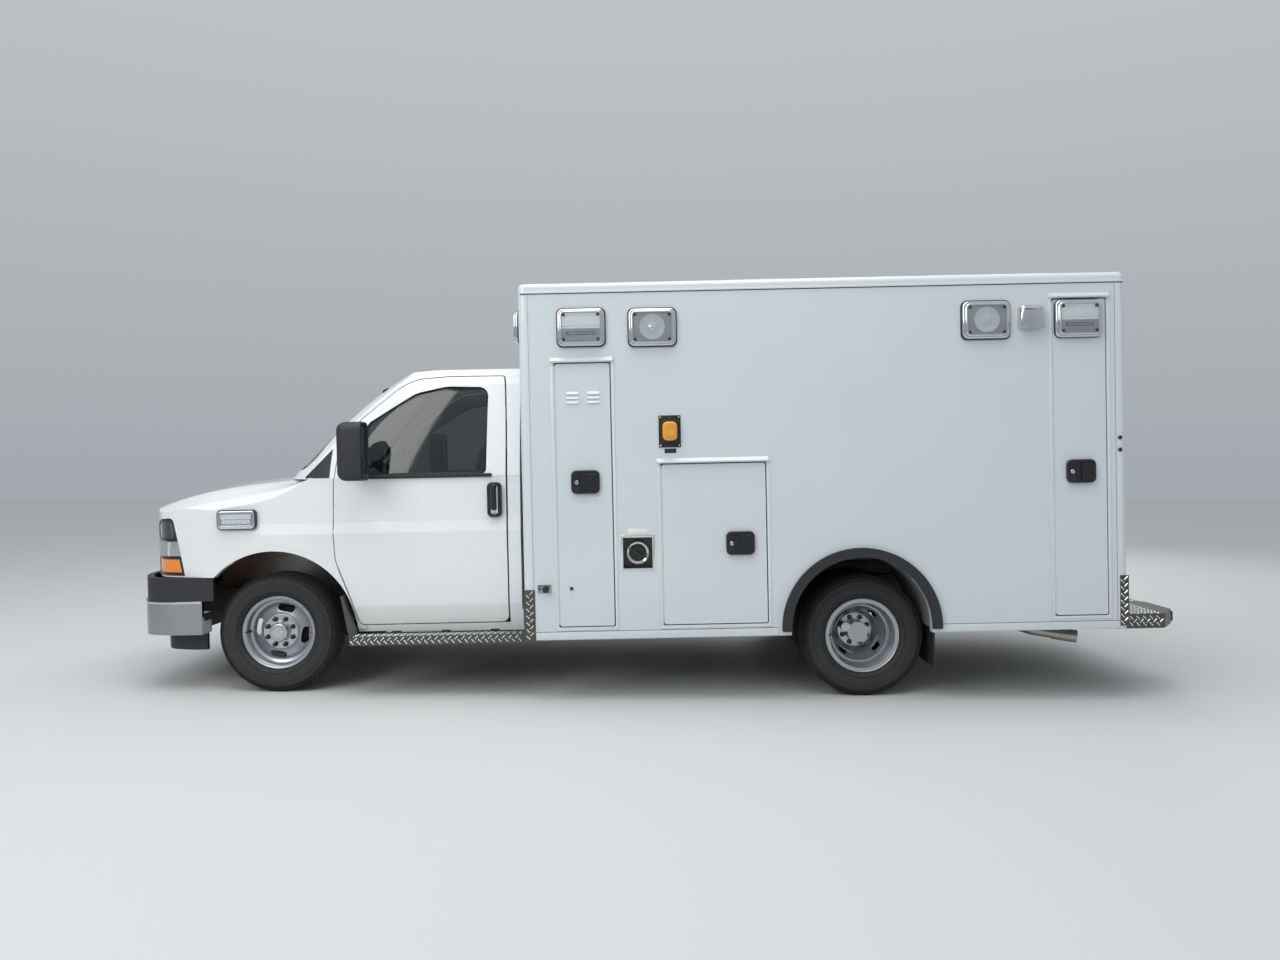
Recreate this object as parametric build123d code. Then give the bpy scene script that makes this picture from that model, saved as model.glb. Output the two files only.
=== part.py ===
from build123d import *
import functools
import math
import os

# A box-bodied ambulance on a van cab with twin rear wheels, in millimetres.
# Everything above the axles is drawn level, then tipped nose down as the sprung body sits.
# X runs back from the front axle, Y to the right of the vehicle, Z up from the ground.

# Stance
WHEELBASE = 3531
RAKE = 1.2
FRONT_TRACK_Y = 873
REAR_OUTER_Y = 972
DUAL_SPACING = 272

# Tyres and rims
TYRE_R = 362
TYRE_W = 223
RIM_SEAT_R = 204
RIM_FLANGE_R = 221
RIM_HALF_W = 84
RIM_T = 7
DISC_T = 9
LUG_CIRCLE_R = 82.5
LUG_COUNT = 8
SLOT_COUNT = 4
HUB_R = 62

# Cab
CAB_HALF_W = 1006
CAB_REAR_X = 1500
CAB_NOSE_X = -948
CAB_WALL = 45
BELT_Z = 1290
SILL_Z = 360
DOOR_BOTTOM_Z = 405
DOOR_FRONT_X = 372
DOOR_REAR_X = 1416
ROOF_Z = 1992
HOOD_REAR_X = -62
HOOD_HALF_W = 745
CAB_FLOOR_Z = 585
CAB_FLOOR_T = 40
ARCH_R = 500
LIP_W = 52
LIP_OUT = 9
HOOD_T = 36

# Module, the box body
BOX_FRONT_X = 1537
BOX_LENGTH = 3523
BOX_HALF_W = 1206.5
BOX_BOTTOM_Z = 325
BOX_TOP_Z = 2402
BOX_WALL = 50
BOX_FLOOR_Z = 700
BOX_FLOOR_T = 50
POST = 65
RAIL_H = 52
SKIRT_H = 49
POST_R = 38
REAR_ARCH_R = 410
REAR_ARCH_TOP_Z = 773

# Chassis
RAIL_Y = 437
RAIL_W = 66
RAIL_H_CHASSIS = 150
RAIL_TOP_Z = 580
RAIL_T = 8
RAIL_FRONT_X = -860

# Rear step
STEP_DEPTH = 424
STEP_TOP_Z = 380
STEP_T = 87
STEP_HALF_W = 1040
STEP_FLIP_HALF_W = 560
STEP_FLIP_DEPTH = 392
STEP_RUBBER = 26

# Clearances
GAP = 6
REAR_GAP = 9
SEAT = 0.3
FLIP_GAP = 8
PIN_R = GAP / 2 - SEAT

BOX_REAR_X = BOX_FRONT_X + BOX_LENGTH
RAIL_REAR_X = BOX_REAR_X - BOX_WALL - GAP
INSIDE_HALF_W = BOX_HALF_W - BOX_WALL
STEP_FRONT_X = BOX_REAR_X + SEAT
REAR_X = STEP_FRONT_X + STEP_DEPTH + STEP_RUBBER
BUMPER_NOSE_X = CAB_NOSE_X - 30
TIP = math.radians(RAKE)
CENTRE_X = (BUMPER_NOSE_X + REAR_X) / 2 * math.cos(TIP) - (460 + 340) / 2 * math.sin(TIP)


def face_of(rows):
    """Closed face through rows of (u, v, corner radius), a radius held within its two sides."""
    edges = []
    ends = []
    for i, (u, v, r) in enumerate(rows):
        corner = Vector(u, v)
        before = Vector(*rows[i - 1][:2]) - corner
        after = Vector(*rows[(i + 1) % len(rows)][:2]) - corner
        if r == 0:
            ends.append((corner, corner))
            continue
        half = math.radians(before.get_angle(after)) / 2
        reach = min(r / math.tan(half), 0.48 * before.length, 0.48 * after.length)
        start = corner + before.normalized() * reach
        end = corner + after.normalized() * reach
        inward = (before.normalized() + after.normalized()).normalized()
        middle = corner + inward * (reach / math.cos(half) - reach * math.tan(half))
        edges.append(ThreePointArc(start, middle, end))
        ends.append((start, end))
    for i, (start, _) in enumerate(ends):
        edges.append(Line(ends[i - 1][1], start))
    return make_face(edges)


def along_y(rows, y0, y1):
    """Outline of (x, z, r) rows carried across the vehicle."""
    return extrude(Plane.XZ.offset(-y1) * face_of(rows), amount=y1 - y0)


def along_x(rows, x0, x1):
    """Outline of (y, z, r) rows carried along the vehicle."""
    return extrude(Plane.YZ.offset(x0) * face_of(rows), amount=x1 - x0)


def along_z(rows, z0, z1):
    """Outline of (x, y, r) rows carried upwards."""
    return extrude(Plane.XY.offset(z0) * face_of(rows), amount=z1 - z0)


def block(x0, x1, y0, y1, z0, z1):
    """Box between two opposite corners."""
    centre = Pos((x0 + x1) / 2, (y0 + y1) / 2, (z0 + z1) / 2)
    return centre * Box(x1 - x0, y1 - y0, z1 - z0)


def rect_rows(u0, u1, v0, v1, r):
    """Rows of a rectangle with one corner radius."""
    return [(u0, v0, r), (u1, v0, r), (u1, v1, r), (u0, v1, r)]


def symmetric(rows):
    """Mirrors (u, v, r) rows in u and joins the halves, first row nearest the middle."""
    return rows + [(-u, v, r) for u, v, r in reversed(rows) if abs(u) > 1e-6]


def other_side(shape):
    """The same piece on the right of the vehicle."""
    return mirror(shape, about=Plane.XZ)


def pair(shape):
    """A left piece and its mirror image, as one group of separate solids."""
    return Compound(children=[*shape.solids(), *other_side(shape).solids()])


def rod(x0, y0, z0, x1, y1, z1, r):
    """Round bar between two points."""
    start = Vector(x0, y0, z0)
    run = Vector(x1, y1, z1) - start
    return extrude(Plane(origin=start, z_dir=run) * Circle(r), amount=run.length)


def hinge_pin(x, y, z0, z1, hold_x):
    """Upright hinge pin with the strip that holds it to the fixed edge at hold_x."""
    pin = Pos(x, y, (z0 + z1) / 2) * Cylinder(PIN_R, z1 - z0)
    low_x, high_x = sorted((x, hold_x))
    low_y, high_y = sorted((y, y - math.copysign(PIN_R, y)))
    return pin + block(low_x, high_x, low_y, high_y, z0, z1)


sprung = {}
level = {}

# Nose of the cab: sections across the hood and fenders, from the grille back to the cowl
NOSE_SECTIONS = [
    # x, shoulder z and its r, hood edge z, crown z
    (CAB_NOSE_X - 32, 940, 120, 1046, 1092),
    (-700, 1062, 120, 1172, 1230),
    (-350, 1142, 120, 1246, 1289),
    (60, 1228, 110, 1288, 1316),
    (230, BELT_Z + 4, 28, 1304, 1322),
]
PLAN_BELT = [
    # x, y, r of the lower body's plan, from the middle of the nose round the left corner
    (CAB_NOSE_X, 0, 2600),
    (-884, -600, 500),
    (-726, -884, 220),
    (-400, -996, 1200),
    (-60, -CAB_HALF_W, 0),
    (CAB_REAR_X, -CAB_HALF_W, 0),
]
GLASS_SECTIONS = [
    # z, then x and y of the screen's middle, its quarter, the pillar, and the side
    (BELT_Z, -130, -16, 640, 178, 892, 420, 982),
    (1600, 196, 268, 590, 430, 826, 600, 914),
    (2000, 772, 806, 520, 900, 722, 1000, 796),
]
ROOF_LINE = [
    # x, z, r of the roof seen from the side
    (CAB_REAR_X, BELT_Z - 60, 0),
    (CAB_REAR_X, 1978, 0),
    (1000, 1968, 1500),
    (762, 1944, 500),
    (600, 1884, 60),
    (-400, 1700, 0),
    (-400, BELT_Z - 60, 0),
]


def mirror_y(rows):
    """Joins left rows of (x, y, r) to their right images, first row on the centre line."""
    right = [(x, -y, r) for x, y, r in rows if abs(y) > 1e-6]
    return rows[::-1] + right


def nose_section(inset, shoulder, shoulder_r, edge, crown):
    """Section across the lower body, its skin moved inwards by inset."""
    half = [
        (0, crown - inset, 1500),
        (700, edge - inset, 260),
        (CAB_HALF_W - inset, shoulder - inset, shoulder_r),
        (CAB_HALF_W - inset, 250, 0),
    ]
    return symmetric(half)


def nose(inset):
    """Lower body ahead of the cowl, its skin moved inwards by inset."""
    wires = []
    for x, *heights in NOSE_SECTIONS:
        wires.append((Plane.YZ.offset(x) * face_of(nose_section(inset, *heights))).faces()[0].outer_wire())
    return Solid.make_loft(wires)


@functools.cache
def lower_body(inset):
    """Whole lower body of the cab, its skin moved inwards by inset."""
    front = nose(inset)
    belt_x, *heights = NOSE_SECTIONS[-1]
    rear = along_x(nose_section(inset, *heights), belt_x, CAB_REAR_X)
    top_half = [
        (0, BELT_Z + 60, 0),
        (CAB_HALF_W - 26 - inset, BELT_Z + 60, 0),
        (CAB_HALF_W - 26 - inset, 1250, 60),
        (CAB_HALF_W - 11 - inset, 1024, 30),
        (CAB_HALF_W - inset, 958, 40),
        (CAB_HALF_W - 3 - inset, 518, 60),
        (CAB_HALF_W - 36 - inset, SILL_Z, 0),
    ]
    side = along_x(symmetric(top_half), -1100, CAB_REAR_X)
    rows = []
    for x, y, r in PLAN_BELT:
        shift = inset if y == 0 or abs(y) < 900 else 0
        rows.append((x + shift, y + inset * (abs(y) > 1), r))
    rows[-1] = (CAB_REAR_X, rows[-1][1], 0)
    plan = along_z(mirror_y(rows), SILL_Z, ROOF_Z)
    lean = [
        (CAB_REAR_X, SILL_Z, 0),
        (CAB_REAR_X, ROOF_Z, 0),
        (CAB_NOSE_X + 30 + inset, ROOF_Z, 0),
        (CAB_NOSE_X + 2 + inset, 1118 - inset, 70),
        (CAB_NOSE_X + 14 + inset, SILL_Z, 0),
    ]
    body = (front + rear) & side
    body = body & plan
    return body & along_y(lean, -1100, 1100)


@functools.cache
def greenhouse(inset):
    """Screen, pillars and roof above the belt line, the skin moved inwards by inset."""
    wires = []
    for z, x0, x1, y1, x2, y2, x3, y3 in GLASS_SECTIONS:
        half = [
            (x0 + inset, 0, 2400),
            (x1 + inset, -y1 + inset / 2, 700),
            (x2 + inset * 0.7, -y2 + inset * 0.7, 130),
            (x3, -y3 + inset, 600),
            (CAB_REAR_X, -y3 + inset, 0),
        ]
        wires.append((Plane.XY.offset(z) * face_of(mirror_y(half))).faces()[0].outer_wire())
    shell = Solid.make_loft(wires)
    roof = [(x, z - inset * (z > 1800), r) for x, z, r in ROOF_LINE]
    crown_half = [
        (0, ROOF_Z - inset, 3000),
        (680 - inset / 2, ROOF_Z - 26 - inset, 110),
        (850 - inset, 1850, 0),
        (1100, 1200, 0),
    ]
    shell = shell & along_y(roof, -1100, 1100)
    return shell & along_x(symmetric(crown_half), -400, CAB_REAR_X)


cab_outer = lower_body(0) + greenhouse(0)
z, x0, x1, y1, x2, y2, x3, y3 = GLASS_SECTIONS[0]
belt_rows = [(230, 0, 0), (230, -780, 0), (x3, -y3 + CAB_WALL, 0), (CAB_REAR_X, -y3 + CAB_WALL, 0)]
belt_room = along_z(mirror_y(belt_rows), BELT_Z - 100, BELT_Z + 2)
cab_inner = lower_body(CAB_WALL) + greenhouse(CAB_WALL) + belt_room
cab_inner = cab_inner + block(CAB_NOSE_X + 200, CAB_REAR_X - CAB_WALL, -900, 900, SILL_Z - 80, SILL_Z + 80)
cab_inner = cab_inner & block(-1100, CAB_REAR_X - CAB_WALL, -1100, 1100, 0, 2100)
cab_skin = cab_outer - cab_inner

# Side door and its window, seen from the side
DOOR_OUTLINE = [
    (516, DOOR_BOTTOM_Z, 40),
    (472, 556, 150),
    (380, 800, 220),
    (DOOR_FRONT_X, 960, 0),
    (DOOR_FRONT_X + 2, BELT_Z, 0),
    (DOOR_FRONT_X + 12, 1480, 80),
    (505, 1648, 200),
    (741, 1838, 160),
    (860, 1896, 160),
    (1040, 1911, 600),
    (1411, 1909, 40),
    (DOOR_REAR_X, 780, 0),
    (DOOR_REAR_X, DOOR_BOTTOM_Z, 40),
]
WINDOW_OUTLINE = [
    (540, 1302, 30),
    (1296, 1302, 30),
    (1304, 1836, 60),
    (1050, 1846, 300),
    (862, 1808, 200),
    (557, 1622, 60),
]


def grown(rows, by):
    """Outline offset outwards by a distance, sharp corners kept."""
    return offset(face_of(rows), amount=by, kind=Kind.INTERSECTION)


def side_cut(rows, by, y0, y1):
    """Outline of (x, z, r) rows, grown by a distance and carried across."""
    return extrude(Plane.XZ.offset(-y1) * grown(rows, by), amount=y1 - y0)



# The door's rear edge follows the arc that it swings on
SWING_R = DOOR_REAR_X - DOOR_FRONT_X + GAP / 2
hinge_at = Pos(DOOR_FRONT_X - GAP / 2, -CAB_HALF_W, 1100)
door_cut = side_cut(DOOR_OUTLINE, GAP, -1200, -500)
door_cut = door_cut + block(DOOR_REAR_X - 20, DOOR_REAR_X + REAR_GAP, -1200, -500, DOOR_BOTTOM_Z - GAP, 1915)
door_cut = door_cut & (hinge_at * Cylinder(SWING_R + REAR_GAP, 2400))
door_keep = side_cut(DOOR_OUTLINE, 0, -1200, -500) & (hinge_at * Cylinder(SWING_R, 2400))
window_cut = side_cut(WINDOW_OUTLINE, 0, -1200, -500)
window_keep = side_cut(WINDOW_OUTLINE, -SEAT, -1200, -500)

door_left = (cab_skin & door_keep) - window_cut
handle = along_y(rect_rows(1312, 1384, 1046, 1246, 26), -CAB_HALF_W - 16, -CAB_HALF_W + 20)
door_left = door_left + handle

# Hinge lugs of the fender, each seated in a pocket that lets the door swing round it
HINGE_LUGS = [(960, 984, -998), (1080, 1104, -982)]
LUG_REACH_X = DOOR_FRONT_X + 24
LUG_DEPTH = 33
LUG_ROOM = 5
hinge_lugs = []
for z0, z1, outer_y in HINGE_LUGS:
    hinge_lugs.append(block(DOOR_FRONT_X - GAP - 4, LUG_REACH_X, outer_y, outer_y + LUG_DEPTH, z0, z1))
    swing_r = math.hypot(LUG_REACH_X - DOOR_FRONT_X + GAP / 2, outer_y + LUG_DEPTH + CAB_HALF_W) + LUG_ROOM
    pocket = Pos(DOOR_FRONT_X - GAP / 2, -CAB_HALF_W, (z0 + z1 + SEAT - LUG_ROOM) / 2)
    pocket = pocket * Cylinder(swing_r, z1 - z0 + SEAT + LUG_ROOM)
    pocket = pocket & block(DOOR_FRONT_X - 90, DOOR_FRONT_X + 90, outer_y - 2, -850, z0 - 50, z1 + 50)
    door_left = door_left - pocket
glass_band = greenhouse(14) - greenhouse(20)
sprung["cab_door_left"] = door_left
sprung["cab_door_right"] = other_side(door_left)
door_glass_left = glass_band & window_keep
sprung["cab_door_glass_left"] = door_glass_left
sprung["cab_door_glass_right"] = other_side(door_glass_left)

# Windscreen opening, seen from the front
SCREEN_HALF = [
    (0, 1880, 3000),
    (600, 1862, 90),
    (800, 1350, 70),
    (0, 1330, 0),
]
SCREEN_REACH = (-420, 900)
screen_rows = symmetric(SCREEN_HALF)
screen_cut = along_x(screen_rows, *SCREEN_REACH)
screen_keep = extrude(Plane.YZ.offset(SCREEN_REACH[0]) * grown(screen_rows, -SEAT), amount=SCREEN_REACH[1] - SCREEN_REACH[0])
sprung["windscreen"] = glass_band & screen_keep

# Hood, lifted at its nose about its rear edge
HOOD_FRONT_Z = 1046
hood_region = block(-1100, HOOD_REAR_X, -HOOD_HALF_W, HOOD_HALF_W, HOOD_FRONT_Z, 1400)
hood_cut = block(-1100, HOOD_REAR_X + GAP, -HOOD_HALF_W - GAP, HOOD_HALF_W + GAP, HOOD_FRONT_Z - GAP, 1400)
hood_under = lower_body(HOOD_T)
sprung["hood"] = (lower_body(0) - hood_under) & hood_region

# Wheel arches, lamp and grille openings in the nose
arch_cut = Pos(0, 0, TYRE_R) * Rot(90, 0, 0) * Cylinder(ARCH_R, 2400)
LAMP_OUTLINE = [(-1000, 716, 0), (-560, 716, 0), (-600, 900, 60), (-640, 1070, 30), (-1000, 1046, 0)]
lamp_cut = along_y(LAMP_OUTLINE, -1100, -640)
lamp_cut = lamp_cut + other_side(lamp_cut)
grille_cut = block(-1100, CAB_NOSE_X + 220, -640, 640, 716, HOOD_FRONT_Z - GAP)
NOSE_UNDER_Z = 708
under_cut = block(-1100, -300, -1100, 1100, 0, NOSE_UNDER_Z)

fender_zone = block(-1100, DOOR_FRONT_X, -1100, 1100, 0, BELT_Z - 30)
fender_zone = fender_zone + block(-1100, HOOD_REAR_X + GAP, -1100, 1100, 0, 1400)
fender_zone = fender_zone + along_y(
    [(DOOR_FRONT_X - 20, 300, 0), (640, 300, 0), (640, 900, 0), (DOOR_FRONT_X - 20, 1000, 0)], -1100, 1100
)
both_doors = door_cut + other_side(door_cut)
fenders = cab_skin & fender_zone
fenders = fenders - both_doors
fenders = fenders - hood_cut
fenders = fenders - arch_cut
fenders = fenders - lamp_cut
fenders = fenders - grille_cut
fenders = fenders - under_cut
fenders = fenders - block(-500, 640, -900, 900, 200, 1100)
for lug in hinge_lugs:
    fenders = fenders + lug + other_side(lug)

# Rolled lip round each front wheel arch
lip_zone = Pos(0, 0, TYRE_R) * Rot(90, 0, 0) * (Cylinder(ARCH_R + LIP_W, 2400) - Cylinder(ARCH_R, 2400))
lip_zone = lip_zone & block(-700, DOOR_FRONT_X + 200, -1100, 1100, NOSE_UNDER_Z - 330, 1000)
lip = ((lower_body(-LIP_OUT) - lower_body(6)) & lip_zone) - both_doors - lamp_cut
lip = lip - block(-700, 700, -900, 900, 200, 1100)
lip = lip - block(-700, -360, -1100, 1100, 0, NOSE_UNDER_Z)
fenders = fenders + lip
sprung["front_fenders"] = Compound(children=[s for s in fenders.solids() if s.volume > 40000])

shell = cab_skin - fender_zone
shell = shell - both_doors
shell = shell - screen_cut

INNER_HALF_W = CAB_HALF_W - CAB_WALL - 60

# Cab back wall has a walk-through to the box body
PASS_HALF_W = 420
PASS_BOTTOM_Z = 800
PASS_TOP_Z = 1840
pass_cut = block(CAB_REAR_X - 100, BOX_FRONT_X + 100, -PASS_HALF_W, PASS_HALF_W, PASS_BOTTOM_Z, PASS_TOP_Z)
rear_wall = cab_outer & block(CAB_REAR_X - CAB_WALL, CAB_REAR_X, -1100, 1100, SILL_Z, 2100)
shell = shell + (rear_wall - pass_cut)
shell = shell - block(CAB_REAR_X - CAB_WALL - 1, CAB_REAR_X + 1, -INNER_HALF_W, INNER_HALF_W, 0, CAB_FLOOR_Z)
shell = shell - both_doors - pass_cut
sprung["cab_shell"] = Compound(children=[s for s in shell.solids() if s.volume > 40000])

# Cab floor, toe board, sills and firewall
TOE_X = 525
FIREWALL_X = 150
cab_floor = along_y(
    [
        (TOE_X, CAB_FLOOR_Z, 0),
        (CAB_REAR_X - CAB_WALL - SEAT, CAB_FLOOR_Z, 0),
        (CAB_REAR_X - CAB_WALL - SEAT, CAB_FLOOR_Z + CAB_FLOOR_T, 0),
        (TOE_X + 20, CAB_FLOOR_Z + CAB_FLOOR_T, 0),
        (FIREWALL_X + 50, 920, 0),
        (FIREWALL_X + 40, 1236, 0),
        (FIREWALL_X, 1236, 0),
        (FIREWALL_X, 900, 0),
    ],
    -INNER_HALF_W,
    INNER_HALF_W,
)
riser = block(TOE_X + 10, CAB_REAR_X - CAB_WALL - SEAT, -INNER_HALF_W, -INNER_HALF_W + 40, SILL_Z + 4, CAB_FLOOR_Z)
sill = block(TOE_X + 10, CAB_REAR_X - CAB_WALL - SEAT, -CAB_HALF_W, -INNER_HALF_W + 40, SILL_Z, SILL_Z + 36)
cab_floor = cab_floor + riser + other_side(riser) + sill + other_side(sill)
sprung["cab_floor"] = cab_floor & lower_body(CAB_WALL + 1)

# Boot between the cab back and the box front
BOOT_T = 60
boot = block(CAB_REAR_X + SEAT, BOX_FRONT_X - SEAT, -PASS_HALF_W - BOOT_T, PASS_HALF_W + BOOT_T, PASS_BOTTOM_Z - BOOT_T, PASS_TOP_Z + BOOT_T)
sprung["cab_boot"] = boot - pass_cut

# Box body: corner posts, roof rails and skirt rails that frame the wall panels
box_outer = extrude(
    Plane.XY.offset(BOX_BOTTOM_Z) * (Pos((BOX_FRONT_X + BOX_REAR_X) / 2, 0) * RectangleRounded(BOX_LENGTH, 2 * BOX_HALF_W, POST_R)),
    amount=BOX_TOP_Z - BOX_BOTTOM_Z,
)
top_edges = box_outer.faces().sort_by(Axis.Z)[-1].edges()
box_outer = fillet(top_edges, 30)
box_hollow = block(BOX_FRONT_X + BOX_WALL, BOX_REAR_X - BOX_WALL, -INSIDE_HALF_W, INSIDE_HALF_W, 0, BOX_TOP_Z - BOX_WALL)
box_skin = box_outer - box_hollow
REAR_AXLE_X = WHEELBASE * math.cos(TIP) + TYRE_R * math.sin(TIP)
REAR_ARCH_Z = REAR_ARCH_TOP_Z - REAR_ARCH_R
rear_arch = Pos(REAR_AXLE_X - 34, 0, REAR_ARCH_Z) * Rot(90, 0, 0) * Cylinder(REAR_ARCH_R, 2600)
rear_arch = rear_arch + block(REAR_AXLE_X - 34 - REAR_ARCH_R, REAR_AXLE_X - 34 + REAR_ARCH_R, -1300, 1300, 0, REAR_ARCH_Z)

PANEL_X = (BOX_FRONT_X + POST, BOX_REAR_X - POST)
PANEL_Y = BOX_HALF_W - POST
PANEL_Z = (BOX_BOTTOM_Z + SKIRT_H, BOX_TOP_Z - RAIL_H)
FRONT_WALL_Z = RAIL_TOP_Z + 20


def panel_zones(seam):
    """Spaces of the left, front and rear wall panels and of the roof, each drawn in by a seam."""
    left = block(PANEL_X[0] + seam, PANEL_X[1] - seam, -1300, -INSIDE_HALF_W, PANEL_Z[0] + seam, PANEL_Z[1] - seam)
    front = block(BOX_FRONT_X, BOX_FRONT_X + BOX_WALL, -PANEL_Y + seam, PANEL_Y - seam, FRONT_WALL_Z, PANEL_Z[1] - seam)
    rear = block(BOX_REAR_X - BOX_WALL, BOX_REAR_X, -PANEL_Y + seam, PANEL_Y - seam, PANEL_Z[0] + seam, PANEL_Z[1] - seam)
    roof = block(PANEL_X[0] + seam, PANEL_X[1] - seam, -PANEL_Y + seam, PANEL_Y - seam, BOX_TOP_Z - BOX_WALL, BOX_TOP_Z + 10)
    return left, front, rear, roof


left_wall_zone, front_wall_zone, rear_wall_zone, roof_zone = panel_zones(SEAT)

# Compartment and entry doors of the box: side, name, x0, x1, z0, z1, liner depth, handle centre x, z
BOX_DOORS = [
    (-1, "compartment_door_l1", 1745, 2063, 404, 1932, 520, 1910, 1244),
    (-1, "compartment_door_l2", 2353, 2956, 404, 1336, 520, 2803, 871),
    (-1, "compartment_door_l3", 4638, 4940, 411, 2245, 520, 4787, 1248),
    (1, "compartment_door_r1", 1675, 2075, 404, 2100, 520, 1985, 1244),
    (1, "compartment_door_r3", 4390, 4940, 411, 1600, 520, 4800, 1000),
    (1, "entry_door", 2290, 2990, 404, 2240, 0, 2880, 1244),
]
DOOR_T = 42
LINER_T = 14
HANDLE_W = 165
HANDLE_H = 135
HANDLE_OUT = 12
LAMP_OUT = 24
drip_rails = {-1: [], 1: []}
openings_left = None
openings_right = None
liners = {-1: [], 1: []}
box_pins = {-1: [], 1: []}
for side, name, x0, x1, z0, z1, depth, hx, hz in BOX_DOORS:
    face_y = side * BOX_HALF_W
    back_y = side * (BOX_HALF_W - DOOR_T)
    y_low, y_high = sorted((face_y, back_y))
    panel = along_y(rect_rows(x0, x1, z0, z1, 12), y_low, y_high)
    pad_low, pad_high = sorted((face_y, face_y + side * HANDLE_OUT))
    pad = along_y(
        rect_rows(hx - HANDLE_W / 2, hx + HANDLE_W / 2, hz - HANDLE_H / 2, hz + HANDLE_H / 2, 30), pad_low, pad_high
    )
    panel = panel + pad
    if depth == 0:
        pane = along_y(rect_rows(x0 + 120, x1 - 120, 1420, 2060, 60), y_low - 1, y_high + 1)
        panel = panel - pane
        glass_y = side * (BOX_HALF_W - DOOR_T / 2)
        sprung["entry_door_glass"] = along_y(
            rect_rows(x0 + 120 + SEAT, x1 - 120 - SEAT, 1420 + SEAT, 2060 - SEAT, 60), glass_y - 4, glass_y + 4
        )
    if name == "compartment_door_l1":
        for z in (1700, 1726, 1752):
            vent = [(-BOX_HALF_W + 1, z, 0), (-BOX_HALF_W - 9, z + 2, 0), (-BOX_HALF_W + 1, z + 20, 0)]
            for x in (1811, 1932):
                panel = panel + along_x(vent, x, x + 69)
    if name == "compartment_door_l3":
        panel = panel + along_y(rect_rows(4648, 4912, 2026, 2236, 24), -BOX_HALF_W - LAMP_OUT, -BOX_HALF_W + 1)
    sprung[name] = panel
    rail_y = side * BOX_HALF_W
    rail_rows = [
        (rail_y - side, z1 + 8, 0),
        (rail_y + side * 19, z1 + 8, 0),
        (rail_y + side * 21, z1 + 16, 0),
        (rail_y + side * 5, z1 + 36, 0),
        (rail_y - side, z1 + 36, 0),
    ]
    drip_rails[side].append(along_x(rail_rows, x0 - 26, x1 + 18))
    hole_low, hole_high = sorted((side * 1300, side * (INSIDE_HALF_W - 5)))
    hole = along_y(rect_rows(x0 - GAP, x1 + GAP, z0 - GAP, z1 + GAP, 12), hole_low, hole_high)
    if side < 0:
        openings_left = hole if openings_left is None else openings_left + hole
    else:
        openings_right = hole if openings_right is None else openings_right + hole
    box_pins[side].append(hinge_pin(x0 - GAP / 2, face_y, z0 + 12, z1 - 12, x0 - GAP - 2))
    if depth:
        in_low, in_high = sorted((side * (INSIDE_HALF_W - SEAT), side * (INSIDE_HALF_W - depth)))
        case = block(x0 - GAP - LINER_T, x1 + GAP + LINER_T, in_low, in_high, z0 - GAP - LINER_T, z1 + GAP + LINER_T)
        cave_low, cave_high = sorted((side * (INSIDE_HALF_W + 10), side * (INSIDE_HALF_W - depth + LINER_T)))
        liners[side].append(case - block(x0 - GAP, x1 + GAP, cave_low, cave_high, z0 - GAP, z1 + GAP))
sprung["compartments_left"] = Compound(children=[s for case in liners[-1] for s in case.solids()])
sprung["compartments_right"] = Compound(children=[s for case in liners[1] for s in case.solids()])

# Fuel filler recess in the left wall
FUEL = (2113, 2297, 729, 922)
fuel_hole = along_y(rect_rows(FUEL[0], FUEL[1], FUEL[2], FUEL[3], 8), -1300, -INSIDE_HALF_W + 20)
fuel_pan = along_y(rect_rows(FUEL[0] - 14, FUEL[1] + 14, FUEL[2] - 14, FUEL[3] + 14, 8), -INSIDE_HALF_W + SEAT, -INSIDE_HALF_W + 60)
fuel_pan = fuel_pan - along_y(rect_rows(FUEL[0] + 4, FUEL[1] - 4, FUEL[2] + 4, FUEL[3] - 4, 8), -1300, -INSIDE_HALF_W + 50)
fuel_cap = Pos((FUEL[0] + FUEL[1]) / 2, -INSIDE_HALF_W + 35, (FUEL[2] + FUEL[3]) / 2) * Rot(90, 0, 0) * Cylinder(42, 50)
fuel_filler = fuel_pan + fuel_cap

wall_left = ((box_skin & left_wall_zone) - rear_arch) - openings_left - fuel_hole
wall_right = ((box_skin & other_side(left_wall_zone)) - rear_arch) - openings_right
for piece in box_pins[-1] + drip_rails[-1]:
    wall_left = wall_left + piece
for piece in box_pins[1] + drip_rails[1]:
    wall_right = wall_right + piece
sprung["box_wall_left"] = wall_left
sprung["box_wall_right"] = wall_right
sprung["box_wall_front"] = (box_skin & front_wall_zone) - pass_cut

# Twin rear doors
REAR_DOOR_HALF_W = 590
REAR_DOOR_Z0 = 790
REAR_DOOR_Z1 = 2230
rear_hole = block(BOX_REAR_X - BOX_WALL - 10, BOX_REAR_X + 10, -REAR_DOOR_HALF_W - GAP, REAR_DOOR_HALF_W + GAP, REAR_DOOR_Z0 - GAP, REAR_DOOR_Z1 + GAP)
rear_pin = Pos(BOX_REAR_X, -REAR_DOOR_HALF_W - GAP / 2, (REAR_DOOR_Z0 + REAR_DOOR_Z1) / 2)
rear_pin = rear_pin * Cylinder(PIN_R, REAR_DOOR_Z1 - REAR_DOOR_Z0 - 24)
rear_pin = rear_pin + block(
    BOX_REAR_X - PIN_R, BOX_REAR_X, -REAR_DOOR_HALF_W - GAP - 2, -REAR_DOOR_HALF_W - GAP / 2, REAR_DOOR_Z0 + 12, REAR_DOOR_Z1 - 12
)
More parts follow.
